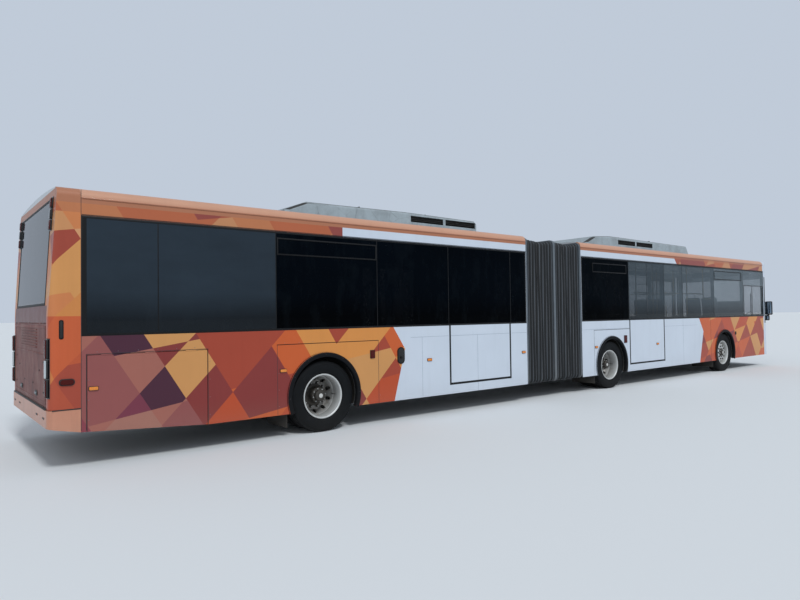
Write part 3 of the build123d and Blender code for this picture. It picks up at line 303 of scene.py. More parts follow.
class Wires:
    """Short names for adding nodes to one tree."""

    def __init__(self, tree):
        self.tree = tree

    def node(self, kind, inputs=None, **settings):
        made = self.tree.nodes.new("ShaderNode" + kind)
        for key, value in settings.items():
            setattr(made, key, value)
        for key, value in (inputs or {}).items():
            self.feed(made.inputs[key], value)
        return made

    def feed(self, socket, value):
        if isinstance(value, bpy.types.NodeSocket):
            self.tree.links.new(value, socket)
        else:
            socket.default_value = value

    def math(self, operation, *values, clamp=False):
        inputs = dict(enumerate(values))
        return self.node("Math", inputs, operation=operation, use_clamp=clamp).outputs[0]

    times = partialmethod(math, "MULTIPLY")
    plus = partialmethod(math, "ADD")
    minus = partialmethod(math, "SUBTRACT")
    over = partialmethod(math, "DIVIDE")
    scaled = partialmethod(math, "MULTIPLY_ADD")
    size = partialmethod(math, "ABSOLUTE")
    either = partialmethod(math, "MAXIMUM")
    above = partialmethod(math, "GREATER_THAN")
    below = partialmethod(math, "LESS_THAN")

    def between(self, value, low, high):
        return self.times(self.above(value, low), self.below(value, high))

    def mix(self, share, first, second):
        return self.node("Mix", {0: share, 6: first, 7: second}, data_type="RGBA").outputs[2]

    def blend(self, share, first, second):
        return self.node("Mix", {0: share, 2: first, 3: second}, data_type="FLOAT").outputs[0]

    def shaded(self, colour, shade):
        return self.node("VectorMath", {0: colour, 3: shade}, operation="SCALE").outputs[0]

    def noise(self, where, scale, detail=3.0, rough=0.55):
        inputs = {"Vector": where, "Scale": scale, "Detail": detail, "Roughness": rough}
        return self.node("TexNoise", inputs).outputs["Fac"]

    def bands(self, where, scale, distortion=0.0, way="X"):
        inputs = {"Vector": where, "Scale": scale, "Distortion": distortion}
        return self.node("TexWave", inputs, wave_type="BANDS", bands_direction=way).outputs["Fac"]

    def stretched(self, where, scale):
        return self.node("Mapping", {"Vector": where, "Scale": scale}).outputs[0]

    def place(self):
        return self.node("TexCoord").outputs["Object"]

    def axes(self, where):
        return self.node("SeparateXYZ", {0: where}).outputs

    def geometry(self, output):
        return self.node("NewGeometry").outputs[output]

    def ramp(self, value, stops, flat=False):
        made = self.node("ValToRGB", {0: value})
        bar = made.color_ramp
        bar.interpolation = "CONSTANT" if flat else "LINEAR"
        while len(bar.elements) < len(stops):
            bar.elements.new(1.0)
        for element, (position, colour) in zip(bar.elements, stops):
            element.position = position
            element.color = tint(colour)
        return made.outputs["Color"]


def shader_group(name, inputs, outputs, build):
    tree = bpy.data.node_groups.new(name, "ShaderNodeTree")
    for label, value in inputs.items():
        kind = "NodeSocketColor" if isinstance(value, tuple) else "NodeSocketFloat"
        tree.interface.new_socket(label, in_out="INPUT", socket_type=kind).default_value = value
    for label, kind in outputs.items():
        tree.interface.new_socket(label, in_out="OUTPUT", socket_type=kind)
    wires = Wires(tree)
    given = tree.nodes.new("NodeGroupInput").outputs
    sink = tree.nodes.new("NodeGroupOutput").inputs
    for label, socket in build(wires, given).items():
        wires.feed(sink[label], socket)
    return tree


def weathering(w, given):
    """Mottled fading, rain streaks and road dust that thickens towards the ground."""
    where = w.place()
    height = w.axes(where)[2]
    patches = w.noise(where, given["Mottle Scale"], 4.0)
    clouds = w.noise(where, 1.3, 5.0, 0.65)
    runs = w.noise(w.stretched(where, (14, 14, 0.9)), 1.0, 4.0, 0.6)
    fade = w.times(w.minus(patches, 0.5), given["Mottle"])
    run_shade = w.times(w.minus(runs, 0.52, clamp=True), given["Streaks"])
    worn = w.shaded(given["Colour"], w.minus(w.plus(1.0, fade), run_shade))
    low = w.minus(1.0, w.over(height, given["Dust Height"]), clamp=True)
    low = w.math("POWER", low, 1.6)
    lying = w.times(w.either(w.axes(w.geometry("Normal"))[2], 0.0), 0.35)
    amount = w.times(w.plus(low, lying), given["Dust"])
    amount = w.times(amount, w.scaled(clouds, 1.7, -0.05), clamp=True)
    return {"Colour": w.mix(amount, worn, given["Dust Colour"]), "Dustiness": amount}


FACET_WIDTH = 0.62
# Families of parallel bands, as (share along, share up, width, phase of their unevenness)
FACET_BANDS = ((1.0, 0.62, FACET_WIDTH, 1.3), (1.0, -0.98, 0.74, 4.1), (-0.16, 1.0, 0.48, 0.4))


def facets(w, given):
    """Crossing bands of uneven width: a random number for each kite, and the place of its column."""
    cells = []
    for along, up, width, phase in FACET_BANDS:
        run = w.scaled(given["Up"], up / width, w.times(given["Along"], along / width))
        wave = w.math("SINE", w.scaled(run, 1.9, phase))
        cells.append(w.math("FLOOR", w.scaled(wave, 0.22, run)))
    corner = w.node("CombineXYZ", dict(enumerate(cells))).outputs[0]
    pick = w.node("TexWhiteNoise", {"Vector": corner}, noise_dimensions="3D").outputs["Value"]
    return {"Pick": pick, "Column": w.times(w.plus(cells[0], 0.5), FACET_WIDTH)}


WEATHER = shader_group(
    "weathering",
    {
        "Colour": (0.5, 0.5, 0.5, 1.0), "Dust Colour": tint("#857B6F"), "Dust": 0.3, "Dust Height": 1.0,
        "Mottle": 0.1, "Mottle Scale": 3.0, "Streaks": 0.0,
    },
    {"Colour": "NodeSocketColor", "Dustiness": "NodeSocketFloat"},
    weathering,
)
FACETS = shader_group(
    "facets", {"Along": 0.0, "Up": 0.0}, {"Pick": "NodeSocketFloat", "Column": "NodeSocketFloat"}, facets
)


def new_material(name):
    made = bpy.data.materials.new(name)
    made.use_nodes = True
    made.node_tree.nodes.clear()
    w = Wires(made.node_tree)
    shader = w.node("BsdfPrincipled")
    w.node("OutputMaterial", {"Surface": shader.outputs[0]})
    return made, w, shader.inputs


def worn_colour(w, shader, colour, rough=0.5, dust=0.15, reach=1.2, mottle=0.2, mottle_scale=5.0,
                streaks=0.0):
    """Feeds the shader's colour and roughness through the weathering group. Returns the roughness."""
    inputs = {
        "Colour": colour, "Dust": dust, "Dust Height": reach, "Mottle": mottle, "Mottle Scale": mottle_scale,
        "Streaks": streaks,
    }
    group = w.node("Group", inputs, node_tree=WEATHER).outputs
    w.feed(shader["Base Color"], group["Colour"])
    gloss = w.scaled(w.noise(w.place(), mottle_scale * 4, 3.0), 0.16, rough - 0.08)
    gloss = w.scaled(group["Dustiness"], 0.45, gloss, clamp=True)
    w.feed(shader["Roughness"], gloss)
    return gloss


def bump(w, shader, height, depth):
    made = w.node("Bump", {"Strength": 1.0, "Distance": depth, "Height": height})
    w.feed(shader["Normal"], made.outputs[0])


def grain_bump(w, shader, scale, depth):
    bump(w, shader, w.noise(w.place(), scale, 4.0, 0.6), depth)


def constants(shader, **values):
    """Sets plain numbers on the shader's own sockets."""
    for word, value in values.items():
        label = "Specular IOR Level" if word == "specular" else word.replace("_", " ").title()
        shader[label].default_value = value


def surface(name, colour, rough=0.5, metal=0.0, coat=0.0, grain=120.0, depth=0.0006, specular=0.5,
            **wear):
    """A material of one colour. Wear is what the weathering is given: dust, reach, mottle and so on."""
    made, w, shader = new_material(name)
    worn_colour(w, shader, tint(colour), rough, **wear)
    constants(shader, metallic=metal, coat_weight=coat, specular=specular)
    grain_bump(w, shader, grain, depth)
    return made


# Livery: facet colours of each stretch, as (share, paint) pairs
TAIL_FACETS = [
    (0.0, "#C98145"), (0.26, "#C58A5B"), (0.44, "#CD8F53"), (0.6, "#9C4433"), (0.74, "#C87B4A"),
    (0.9, "#CE9468"),
]
TAIL_LOW_FACETS = [
    (0.0, "#C25B33"), (0.26, "#AE4E34"), (0.44, "#BF6037"), (0.6, "#C97640"), (0.74, "#BA5431"),
    (0.9, "#A24633"),
]
FLAP_FACETS = [
    (0.0, "#9F6154"), (0.2, "#863A45"), (0.36, "#472031"), (0.5, "#A06C5E"), (0.68, "#743343"),
    (0.84, "#8E4F4C"),
]
SIDE_FACETS = [
    (0.0, "#A0412C"), (0.2, "#C45A2A"), (0.38, "#82332F"), (0.54, "#D28A45"), (0.68, "#B64A27"),
    (0.84, "#C98F55"),
]
TOP_FACETS = [(0.0, "#B0603F"), (0.28, "#8E453D"), (0.46, "#BD835A"), (0.62, "#A04F39"), (0.8, "#B8734C")]
WHITE_PAINT = "#C9D1DC"
ROOF_PAINT = "#C4C8CB"
CORNICE_PAINT = "#AB7053"
# Painted highlight along the top of the cornice
CORNICE_HIGHLIGHT_PAINT = "#C9957A"
FADED_PAINT = "#794943"
BAND_PAINT = "#6B3F3B"
LINING = "#8E9190"
RECESS_BLACK = "#101214"
CEILING_PAINT = "#B9BBB8"
HANDRAIL_PAINT = "#C79A2E"

# Where colour gives way to white, as distances forward of the tail
REAR_BREAK = 4.685
FRONT_BREAK = 14.221
BREAK_HEIGHT = 1.06
REAR_TOP_BREAK = 3.59
FRONT_TOP_BREAK = 12.98
FLAP_COLUMNS = 1.9
CHEVRON_SLOPES = (0.66, -0.28)
TOP_CUT_SLOPE = 0.9
# The faded band across the tail, the ceiling panels and the rails with their poles
BAND_LOW, BAND_TOP, BAND_HALF, BAND_DEPTH = 0.64, 1.715, HALF - 0.14, 0.04
CEILING_LOW, CEILING_TOP = 2.72, 2.78
RAIL_INNER, RAIL_OUTER, RAIL_TOP = 0.36, 0.45, 2.7249


def body_paint():
    made, w, shader = new_material("livery_paint")
    where = w.place()
    x, y, z = w.axes(where)
    along, side = w.minus(x, TAIL), w.size(y)
    around = w.plus(along, w.minus(side, HALF))
    group = w.node("Group", {"Along": around, "Up": z}, node_tree=FACETS).outputs
    tail_low, tail_high, flap, flank, top = (
        w.ramp(group["Pick"], stops, flat=True)
        for stops in (TAIL_LOW_FACETS, TAIL_FACETS, FLAP_FACETS, SIDE_FACETS, TOP_FACETS)
    )
    on_tail = w.below(along, TAIL_CAP)
    tail = w.mix(w.above(z, RAKE_START), tail_low, tail_high)
    low_colour = w.mix(w.above(group["Column"], FLAP_COLUMNS), flap, flank)
    low_colour = w.mix(on_tail, low_colour, tail)

    # Two chevron ends of the white below the windows, two cuts above them
    off_break = w.minus(z, BREAK_HEIGHT)
    chevron = w.plus(along, w.either(*(w.times(off_break, slope) for slope in CHEVRON_SLOPES)))
    top_cut = w.scaled(z, TOP_CUT_SLOPE, w.minus(along, TOP_CUT_SLOPE * WINDOW_TOP))
    past_top_cut = w.above(top_cut, FRONT_TOP_BREAK)
    top_white = w.times(w.above(along, REAR_TOP_BREAK), w.below(top_cut, FRONT_TOP_BREAK))
    white = tint(WHITE_PAINT)
    low_colour = w.mix(w.between(chevron, REAR_BREAK, FRONT_BREAK), low_colour, white)
    high_colour = w.mix(top_white, top, white)
    cornice = w.mix(past_top_cut, tint(CORNICE_PAINT), w.mix(0.45, tint(CORNICE_PAINT), top))
    # Painted highlight: the cornice above the gutter is painted lighter
    cornice_highlight = w.times(w.above(z, GUTTER), w.above(along, TAIL_CAP))
    cornice = w.mix(cornice_highlight, cornice, tint(CORNICE_HIGHLIGHT_PAINT))
    high_colour = w.mix(w.above(z, CORNICE), high_colour, cornice)
    colour = w.mix(w.above(z, BELT + 0.2), low_colour, high_colour)
    colour = w.mix(w.times(on_tail, w.below(z, CORNICE - 0.1)), colour, tail)

    # The nose is white, and the roof is off-white between its coloured edges
    colour = w.mix(w.above(along, LENGTH - MASK - 0.04), colour, white)
    roof_top = w.times(w.above(z, ROOF_EDGE - 0.004), w.below(side, HALF - 0.1))
    colour = w.mix(roof_top, colour, tint(ROOF_PAINT))

    # Across the tail, the band between the lid and the window has faded as the lid has
    band = w.times(w.below(side, BAND_HALF), w.between(z, BAND_LOW, BAND_TOP))
    band = w.times(w.below(along, BAND_DEPTH), band)
    colour = w.mix(band, colour, tint(BAND_PAINT))

    # Recessed window posts and panel edges are black, and the inside is a grey lining
    skin = w.either(w.above(side, HALF - 0.004), w.below(along, TAIL_CAP - 0.001))
    skin = w.either(w.either(skin, w.above(along, LENGTH - MASK + 0.001)), w.above(z, CORNICE))
    inside = w.mix(w.above(side, CABIN_HALF + 0.004), tint(LINING), tint(RECESS_BLACK))
    colour = w.mix(skin, inside, colour)
    facing_down = w.below(w.axes(w.geometry("Normal"))[2], -0.5)
    colour = w.mix(w.times(facing_down, w.above(z, CORNICE)), colour, tint(LINING))

    # The roofs carry the ceiling panels and the grab poles and rails
    saloon = w.between(along, TAIL_SEAM - TAIL + 0.001, LENGTH - MASK - 0.001)
    saloon = w.times(saloon, w.below(side, CABIN_HALF))
    ceiling = w.times(saloon, w.between(z, CEILING_LOW, CEILING_TOP))
    colour = w.mix(ceiling, colour, tint(CEILING_PAINT))
    rails = w.times(w.between(side, RAIL_INNER, RAIL_OUTER), w.below(z, RAIL_TOP))
    colour = w.mix(w.times(saloon, rails), colour, tint(HANDRAIL_PAINT))
    worn_colour(w, shader, colour, 0.38, dust=0.32, reach=0.62, mottle=0.14, mottle_scale=1.6, streaks=0.16)
    w.feed(shader["Coat Weight"], w.scaled(band, -0.1, 0.1))
    constants(shader, specular=0.3, coat_roughness=0.15)
    bump(w, shader, w.scaled(w.noise(where, 260.0, 2.0), 0.06, w.noise(where, 2.2, 2.0)), 0.004)
    return made


def lid_paint():
    """Faded, stained paint of the engine lid."""
    made, w, shader = new_material("faded_lid_paint")
    where = w.place()
    blotch = w.noise(w.stretched(where, (1, 1, 0.6)), 3.2, 6.0, 0.7)
    stops = [(0.3, "#5C3936"), (0.47, FADED_PAINT), (0.6, "#835A53"), (0.75, "#907066")]
    scuffs = w.above(w.noise(w.stretched(where, (1, 6, 30)), 4.0, 2.0), 0.69)
    colour = w.mix(w.times(scuffs, 0.4), w.ramp(blotch, stops), tint("#A3938F"))
    chips = w.above(w.noise(where, 38.0, 3.0, 0.6), 0.71)
    colour = w.mix(chips, colour, tint("#4B3A36"))
    worn_colour(w, shader, colour, dust=0.2, reach=1.0, mottle=0.3, mottle_scale=4.0, streaks=0.7)
    constants(shader, specular=0.15)
    grain_bump(w, shader, 30.0, 0.0012)
    return made


RIDGE_INNER, RIDGE_OUTER, RIDGE_LOW = 0.90, 0.94, 3.13
LOUVRE_INNER, LOUVRE_OUTER, LOUVRE_LOW, LOUVRE_TOP = 0.88, 0.947, 3.02, 3.139


def pod_paint():
    """Chalky roof pod moulding with hairline cracks and grime, and painted shade in black inside its louvres.
    """
    made, w, shader = new_material("pod_gelcoat")
    where = w.place()
    _, y, z = w.axes(where)
    side = w.size(y)
    inputs = {"Vector": w.stretched(where, (1, 1, 1.6)), "Scale": 2.4}
    cells = w.node("TexVoronoi", inputs, feature="DISTANCE_TO_EDGE").outputs["Distance"]
    wobble = w.noise(where, 9.0, 5.0, 0.7)
    crack = w.below(w.plus(cells, w.times(wobble, 0.05)), 0.033)
    soiled = w.minus(w.noise(where, 2.6, 6.0, 0.7), 0.42, clamp=True)
    colour = w.mix(w.times(soiled, 2.2, clamp=True), tint("#9FA9AE"), tint("#73797C"))
    colour = w.mix(w.times(crack, 0.3), colour, tint("#55585A"))
    ridge = w.times(w.between(side, RIDGE_INNER, RIDGE_OUTER), w.above(z, RIDGE_LOW))
    colour = w.mix(w.times(ridge, w.plus(wobble, 0.2, clamp=True)), colour, tint("#5A5F60"))
    # Painted shade: the inside of the louvres is painted near-black
    louvre = w.times(
        w.between(side, LOUVRE_INNER, LOUVRE_OUTER), w.between(z, LOUVRE_LOW, LOUVRE_TOP)
    )
    colour = w.mix(louvre, colour, tint("#0D0E0F"))
    worn_colour(w, shader, colour, 0.6, dust=0.12, reach=6.0, mottle=0.22, streaks=0.6)
    grain_bump(w, shader, 60.0, 0.001)
    return made


# Glazing is painted darker below this height as painted shade, and lightens over this reach
SHADE_LOW, SHADE_REACH = 1.56, 0.3


def near_face(w):
    """One on the face towards the eye, so that a pane counts once."""
    return w.minus(1.0, w.geometry("Backfacing"))


def glass_film(w, shader, where, colour, alpha, rough):
    """Feeds a pane its tint, a thin film of dirt and a slight wave."""
    film = w.noise(w.stretched(where, (3, 3, 1.2)), 2.0, 5.0, 0.65)
    haze = w.times(w.minus(film, 0.5, clamp=True), 0.2)
    w.feed(shader["Base Color"], w.mix(haze, colour, tint("#3C464D")))
    w.feed(shader["Roughness"], w.scaled(film, 0.06, rough))
    w.feed(shader["Alpha"], w.times(near_face(w), w.scaled(haze, 0.3, alpha, clamp=True)))
    bump(w, shader, w.noise(where, 0.9, 1.0), 0.004)


def glass(name, right, left=None, rough=0.02, driver_window=None):
    """Tinted glazing, with painted shade low down. Rows are (distance forward of the tail, tint with painted
    reflection, opacity, gloss), each from there on.
    """
    made, w, shader = new_material(name)
    where = w.place()
    x, y, z = w.axes(where)
    along = w.minus(x, TAIL)
    looks = []
    for rows in (right, left or right):
        colour, alpha, gloss = tint(rows[0][1]), *rows[0][2:]
        for start, next_colour, next_alpha, next_gloss in rows[1:]:
            past = w.above(along, start)
            colour = w.mix(past, colour, tint(next_colour))
            alpha, gloss = w.blend(past, alpha, next_alpha), w.blend(past, gloss, next_gloss)
        looks.append((colour, alpha, gloss))
    on_left = w.above(y, 0.0)
    colour = w.mix(on_left, looks[0][0], looks[1][0])
    alpha, gloss = (w.blend(on_left, looks[0][i], looks[1][i]) for i in (1, 2))
    if driver_window:
        first, last, low, high, opacity = driver_window
        zone = w.times(w.between(along, first, last), w.between(z, low, high))
        alpha = w.blend(w.times(zone, w.below(y, 0.0)), alpha, opacity)
    # Painted shade and reflection: darker towards the bottom, mottled by a soft cloud
    cloud = w.noise(w.stretched(where, (0.5, 1, 1.4)), 1.2, 4.0, 0.6)
    rise = w.over(w.minus(z, SHADE_LOW), SHADE_REACH, clamp=True)
    colour = w.shaded(colour, w.times(w.scaled(rise, 0.7, 0.3), w.plus(cloud, 0.5)))
    glass_film(w, shader, where, colour, alpha, rough)
    w.feed(shader["Coat Weight"], gloss)
    constants(shader, specular=0.0)
    return made


# Clear parts of the windscreen and the sign glass inside their printed borders
PRINTED_BORDER = 0.046
SCREEN_CLEAR_HALF = HALF - 0.078
SIGN_CLEAR_LOW, SIGN_CLEAR_TOP, SIGN_CLEAR_HALF = 2.606, 2.794, HALF - 0.396


def screen_glass():
    """Windscreen and sign glass, clear inside black printed borders."""
    made, w, shader = new_material("screen_glass")
    where = w.place()
    x, y, z = w.axes(where)
    side = w.size(y)
    screen = w.between(z, SCREEN_LOW + PRINTED_BORDER, SCREEN_TOP - PRINTED_BORDER)
    screen = w.times(w.times(screen, w.below(side, SCREEN_CLEAR_HALF)), w.above(x, MASK_SEAM + 0.09))
    sign = w.times(w.between(z, SIGN_CLEAR_LOW, SIGN_CLEAR_TOP), w.below(side, SIGN_CLEAR_HALF))
    glass_film(w, shader, where, tint("#0D1315"), w.blend(w.either(screen, sign), 1.0, 0.42), 0.02)
    return made


# Depth of a door's pane behind the leaf's face, and half its thickness with a margin
PANE_DEPTH, PANE_REACH = 0.023, 0.0045


def door_leaf_finish():
    """Black leaf frame, with tinted glass where the leaf thins to its pane."""
    made, w, shader = new_material("door_leaf")
    off_pane = w.size(w.minus(w.axes(w.place())[1], HALF - PANE_DEPTH))
    normal = w.node("TexCoord").outputs["Normal"]
    pane = w.times(w.above(w.size(w.axes(normal)[1]), 0.9), w.below(off_pane, PANE_REACH))
    colour = w.mix(pane, tint("#17181A"), tint("#0A0F13"))
    frame_rough = worn_colour(w, shader, colour, 0.45, dust=0.2, reach=0.9, mottle_scale=9.0, streaks=0.2)
    w.feed(shader["Roughness"], w.blend(pane, frame_rough, 0.04))
    w.feed(shader["Alpha"], w.blend(pane, 1.0, w.times(near_face(w), 0.6)))
    return made


def tyre_rubber():
    made, w, shader = new_material("tyre_rubber")
    where = w.place()
    across = w.size(w.axes(w.geometry("Normal"))[1])
    dusty = w.noise(where, 7.0, 5.0, 0.65)
    wall = w.ramp(dusty, [(0.3, "#07090B"), (0.6, "#0B0E11"), (0.8, "#161718")])
    tread = w.ramp(dusty, [(0.3, "#121417"), (0.55, "#1D1E20"), (0.8, "#34322F")])
    colour = w.mix(w.above(across, 0.55), tread, wall)
    worn_colour(w, shader, colour, 0.7, dust=0.03, reach=0.5, mottle=0.3, mottle_scale=12.0)
    constants(shader, specular=0.2)
    grain_bump(w, shader, 220.0, 0.0008)
    return made


def rim_steel():
    """Silver wheel paint, clean at the lip, with painted shade and brake dust further in the dish towards the
    hub, and rust.
    """
    made, w, shader = new_material("rim_paint")
    where = w.place()
    soot = w.noise(where, 14.0, 5.0, 0.65)
    # Painted shade with brake dust: the further a surface lies in the dish, the darker it is painted
    deep = w.times(w.minus(1.16, w.size(w.axes(where)[1]), clamp=True), 4.5, clamp=True)
    dirt = w.times(deep, w.plus(soot, 0.3), clamp=True)
    colour = w.mix(dirt, tint("#C9CAC8"), tint("#57514A"))
    rust = w.above(w.noise(where, 26.0, 4.0, 0.6), 0.66)
    colour = w.mix(w.times(rust, 0.45), colour, tint("#7C5236"))
    worn_colour(w, shader, colour, 0.42, dust=0.12, reach=0.6, mottle=0.15, mottle_scale=9.0)
    constants(shader, metallic=0.25)
    grain_bump(w, shader, 90.0, 0.0006)
    return made


def bellows_cloth():
    """Coated fabric: painted highlight on the crests of the folds, painted shade in the valleys."""
    made, w, shader = new_material("bellows_fabric")
    fold = w.node("Attribute", attribute_name="fold").outputs["Fac"]
    chart = w.node("UVMap", uv_map="cloth").outputs[0]
    stains = w.noise(w.stretched(chart, (2.2, 0.8, 1)), 2.4, 6.0, 0.65)
    # Painted highlight and shade: pale on the crests of the folds, near-black in the valleys
    stops = [(0.0, "#5A636B"), (0.06, "#333A41"), (0.16, "#15191E"), (0.5, "#0A0D10"), (1.0, "#020304")]
    spread = w.times(w.minus(stains, 0.5, clamp=True), 0.9)
    w.feed(shader["Base Color"], w.mix(spread, w.ramp(fold, stops), tint("#3E4346")))
    w.feed(shader["Roughness"], w.scaled(stains, 0.3, 0.55))
    constants(shader, sheen_weight=0.12, sheen_roughness=0.5)
    creases = w.noise(w.stretched(chart, (1, 5, 1)), 9.0, 3.0)
    bump(w, shader, w.scaled(w.bands(chart, 160.0), 0.15, creases), 0.003)
    return made


def seat_cloth():
    """Moquette: a fine check of short threads with scattered coloured flecks."""
    made, w, shader = new_material("seat_moquette")
    where = w.place()
    check = w.node("TexChecker", {"Vector": where, "Scale": 60.0}).outputs["Fac"]
    colour = w.mix(check, tint("#27304A"), tint("#323C58"))
    fleck = w.above(w.noise(where, 48.0, 1.0), 0.64)
    colour = w.mix(fleck, colour, tint("#A4643C"))
    worn_colour(w, shader, colour, 0.85, dust=0.05, reach=1.0, mottle=0.25, mottle_scale=6.0)
    constants(shader, sheen_weight=0.3)
    grain_bump(w, shader, 420.0, 0.0012)
    return made


def lens(name, colour, ribs, coat=0.5):
    """Moulded lamp lens with fine upright ribs."""
    made, w, shader = new_material(name)
    where = w.place()
    band = w.bands(where, ribs, 0.3, "DIAGONAL")
    w.feed(shader["Base Color"], w.shaded(tint(colour)[:3], w.scaled(band, 0.25, 0.85)))
    w.feed(shader["Roughness"], w.scaled(w.noise(where, 30.0), 0.2, 0.08))
    constants(shader, coat_weight=coat, specular=coat)
    bump(w, shader, band, 0.0015)
    return made


PAINT = body_paint()
LID_PAINT = lid_paint()
POD_PAINT = pod_paint()
PEACH = surface("bumper_paint", "#C5866A", 0.4, coat=0.25, dust=0.55, reach=0.75, mottle=0.25,
                mottle_scale=4, streaks=0.6)
SALMON = surface("cornice_paint", CORNICE_PAINT, 0.35, coat=0.3, dust=0.1, mottle=0.16, streaks=0.3)
# The lighter grey tints of the panes are painted reflection of the sky and of light seen through the bus
REAR_GLASS = glass(
    "tinted_glass", [(0, "#252F38", 0.985, 0.35), (2.562, "#02060C", 0.995, 0.05)],
    [(0, "#0A1016", 0.985, 0.4), (2.562, "#05090D", 0.99, 0.3)],
)
FRONT_GLASS = glass(
    "smoked_glass",
    [
        (0, "#03070C", 0.995, 0.05), (10.86, "#38434A", 0.88, 0.5), (12.34, "#465259", 0.78, 0.7),
        (14.83, "#5A676E", 0.74, 0.9),
    ],
    [(0, "#0A0F13", 0.85, 0.3), (12.34, "#0A0F13", 0.55, 0.4), (14.83, "#0A0F13", 0.42, 0.4)],
    driver_window=(16.62, 17.86, 1.44, 2.235, 0.36),
)
SCREEN_GLASS = screen_glass()
BACK_GLASS = glass("rear_screen_glass", [(0, "#1D262D", 0.94, 0.9)], rough=0.06)
DOOR_LEAF = door_leaf_finish()
GASKET = surface("window_gasket", "#090A0C", dust=0.03, reach=0.9, grain=300, specular=0.25)
RUBBER = surface("black_rubber", "#141516", 0.62, dust=0.28, reach=0.9, mottle=0.3, mottle_scale=14,
                 grain=300)
FLARE_RUBBER = surface("arch_rubber", "#090B0F", 0.55, dust=0.04, reach=0.9, mottle=0.35, mottle_scale=9,
                       grain=160, specular=0.15)
SEALER = surface("seam_sealer", "#26282B", 0.7, dust=0.2, mottle=0.3)
PALE_SEAM = surface("panel_joint", "#929DAB", dust=0.3, mottle=0.3)
PLASTIC = surface("black_plastic", "#17181A", 0.45, dust=0.2, mottle=0.25, grain=240)
SMOKED = surface("smoked_lamp_body", "#0D0D0F", 0.18, coat=0.5, dust=0.1)
ALUMINIUM = surface("anodised_aluminium", "#7C8083", 0.42, metal=0.7, mottle=0.25, mottle_scale=18)
FRAME_GREY = surface("joint_frame_metal", "#5C646B", metal=0.4, dust=0.4, reach=1.6, mottle=0.35,
                     mottle_scale=8, streaks=0.6)
HOOP_GREY = surface("hoop_metal", "#666D73", 0.55, metal=0.35, dust=0.3, reach=1.6, mottle=0.35,
                    mottle_scale=8)
CHASSIS = surface("chassis_paint", "#1D1D1E", 0.7, dust=0.75, reach=1.1, mottle=0.4, mottle_scale=7,
                  grain=60, depth=0.002)
ARCH_LINER = surface("arch_liner", "#2A2A2A", 0.8, dust=0.8, reach=1.3, mottle=0.4, mottle_scale=6,
                     grain=50, depth=0.002)
ENGINE_METAL = surface("engine_casting", "#3C3D3B", 0.6, metal=0.5, dust=0.5, mottle=0.5, mottle_scale=9,
                       grain=40, depth=0.003)
VINYL = surface("floor_vinyl", "#3B4046", 0.6, dust=0.25, reach=2.5, mottle=0.3, mottle_scale=40,
                grain=180, depth=0.001)
CAB_PLASTIC = surface("cab_moulding", "#2A2C2E", 0.6, dust=0.1, grain=320, depth=0.0008)
SHELL_PLASTIC = surface("seat_shell", "#54595D", dust=0.1, mottle=0.15, grain=260)
POLE_PAINT = surface("handrail_paint", HANDRAIL_PAINT, 0.35, coat=0.4, dust=0.05, mottle=0.1)
RIM = rim_steel()
HUB_METAL = surface("hub_casting", "#3A3733", 0.55, metal=0.5, dust=0.3, reach=0.8, mottle=0.5,
                    mottle_scale=20, grain=70, depth=0.0015)
CAP_METAL = surface("hub_cap", "#D2D1CC", 0.4, metal=0.3, dust=0.2, reach=0.8, mottle=0.3, mottle_scale=18)
TYRE = tyre_rubber()
BELLOWS = bellows_cloth()
SEAT_FABRIC = seat_cloth()
AMBER_LENS = lens("amber_lens", "#E8892B", 60)
RED_LENS = lens("red_lens", "#8E1518", 50)
DARK_RED = lens("dark_red_lens", "#4E1411", 60, coat=0.1)
CLEAR_LENS = lens("clear_lens", "#B9C0C4", 40)
MIRROR_GLASS = surface("mirror_glass", "#9FB3C4", 0.05, metal=1.0, dust=0.05, mottle=0.05, grain=20,
                       depth=0.0001)
SIGN_PANEL = surface("blank_sign_panel", "#0B0C0D", dust=0.0)
LIGHT_STRIP = surface("ceiling_lamp_cover", "#E2E4E0", 0.4, dust=0.0, mottle=0.04)

# Doorways as distances forward of the tail
DOORS = {"rear": 5.604, "centre": 10.872, "front": 16.18}

NODE_FINISH = {
    PAINT: [
        "front_side_left", "front_side_right", "rear_side_left", "rear_side_right", "front_roof",
        "rear_roof", "tail_cap", "front_mask", "side_flap",
    ],
    LID_PAINT: ["engine_lid"],
    PEACH: ["rear_bumper"],
    POD_PAINT: ["rear_roof_pod", "front_roof_pod"],
    REAR_GLASS: ["rear_glazing"],
    FRONT_GLASS: ["front_glazing"],
    SCREEN_GLASS: ["windscreen"],
    BACK_GLASS: ["rear_window"],
    SMOKED: ["tail_lamps"],
    CLEAR_LENS: ["headlamps"],
    PLASTIC: ["mirrors"],
    CAB_PLASTIC: ["driver_station"],
    VINYL: ["front_floor", "rear_floor", "gangway_floor"],
    ARCH_LINER: ["front_wheel_houses", "rear_wheel_houses"],
    CHASSIS: [
        "front_underframe", "rear_underframe", "front_axles", "rear_axle", "turntable", "knuckle_left",
        "knuckle_right",
    ],
    ENGINE_METAL: ["engine_block"],
    FRAME_GREY: ["front_joint_portal", "rear_joint_portal"],
    HOOP_GREY: ["centre_hoop"],
    DOOR_LEAF: [f"{name}_door_{leaf}_leaf" for name in DOORS for leaf in ("aft", "fore")],
}
for finish, names in NODE_FINISH.items():
    for name in names:
        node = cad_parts[name]
        node.data.materials.clear()
        node.data.materials.append(finish)


# Placing helpers: what sits on the side or the tail, and what is moved as a whole
def strip(x0, x1, z0, z1, low, high, soften=0.003, steps=2):
    """A slab on the body's side, from low to high beyond it."""
    return slab((x0, HALF + low, z0), (x1, HALF + high, z1), soften, steps)


def on_tail(y, z, half_y, half_z, low, high, corner, soften=0.002):
    """A plate on the tail's face, from low to high forward of it."""
    return plate(0, (y, z), (half_y, half_z), (TAIL + low, TAIL + high), corner, soften)


def crossbar(x0, x1, half, z0, z1, soften=0.003):
    """A slab across the bus, even about its middle."""
    return slab((x0, -half, z0), (x1, half, z1), soften)


def moved(bm, place):
    bm.transform(place)
    return bm


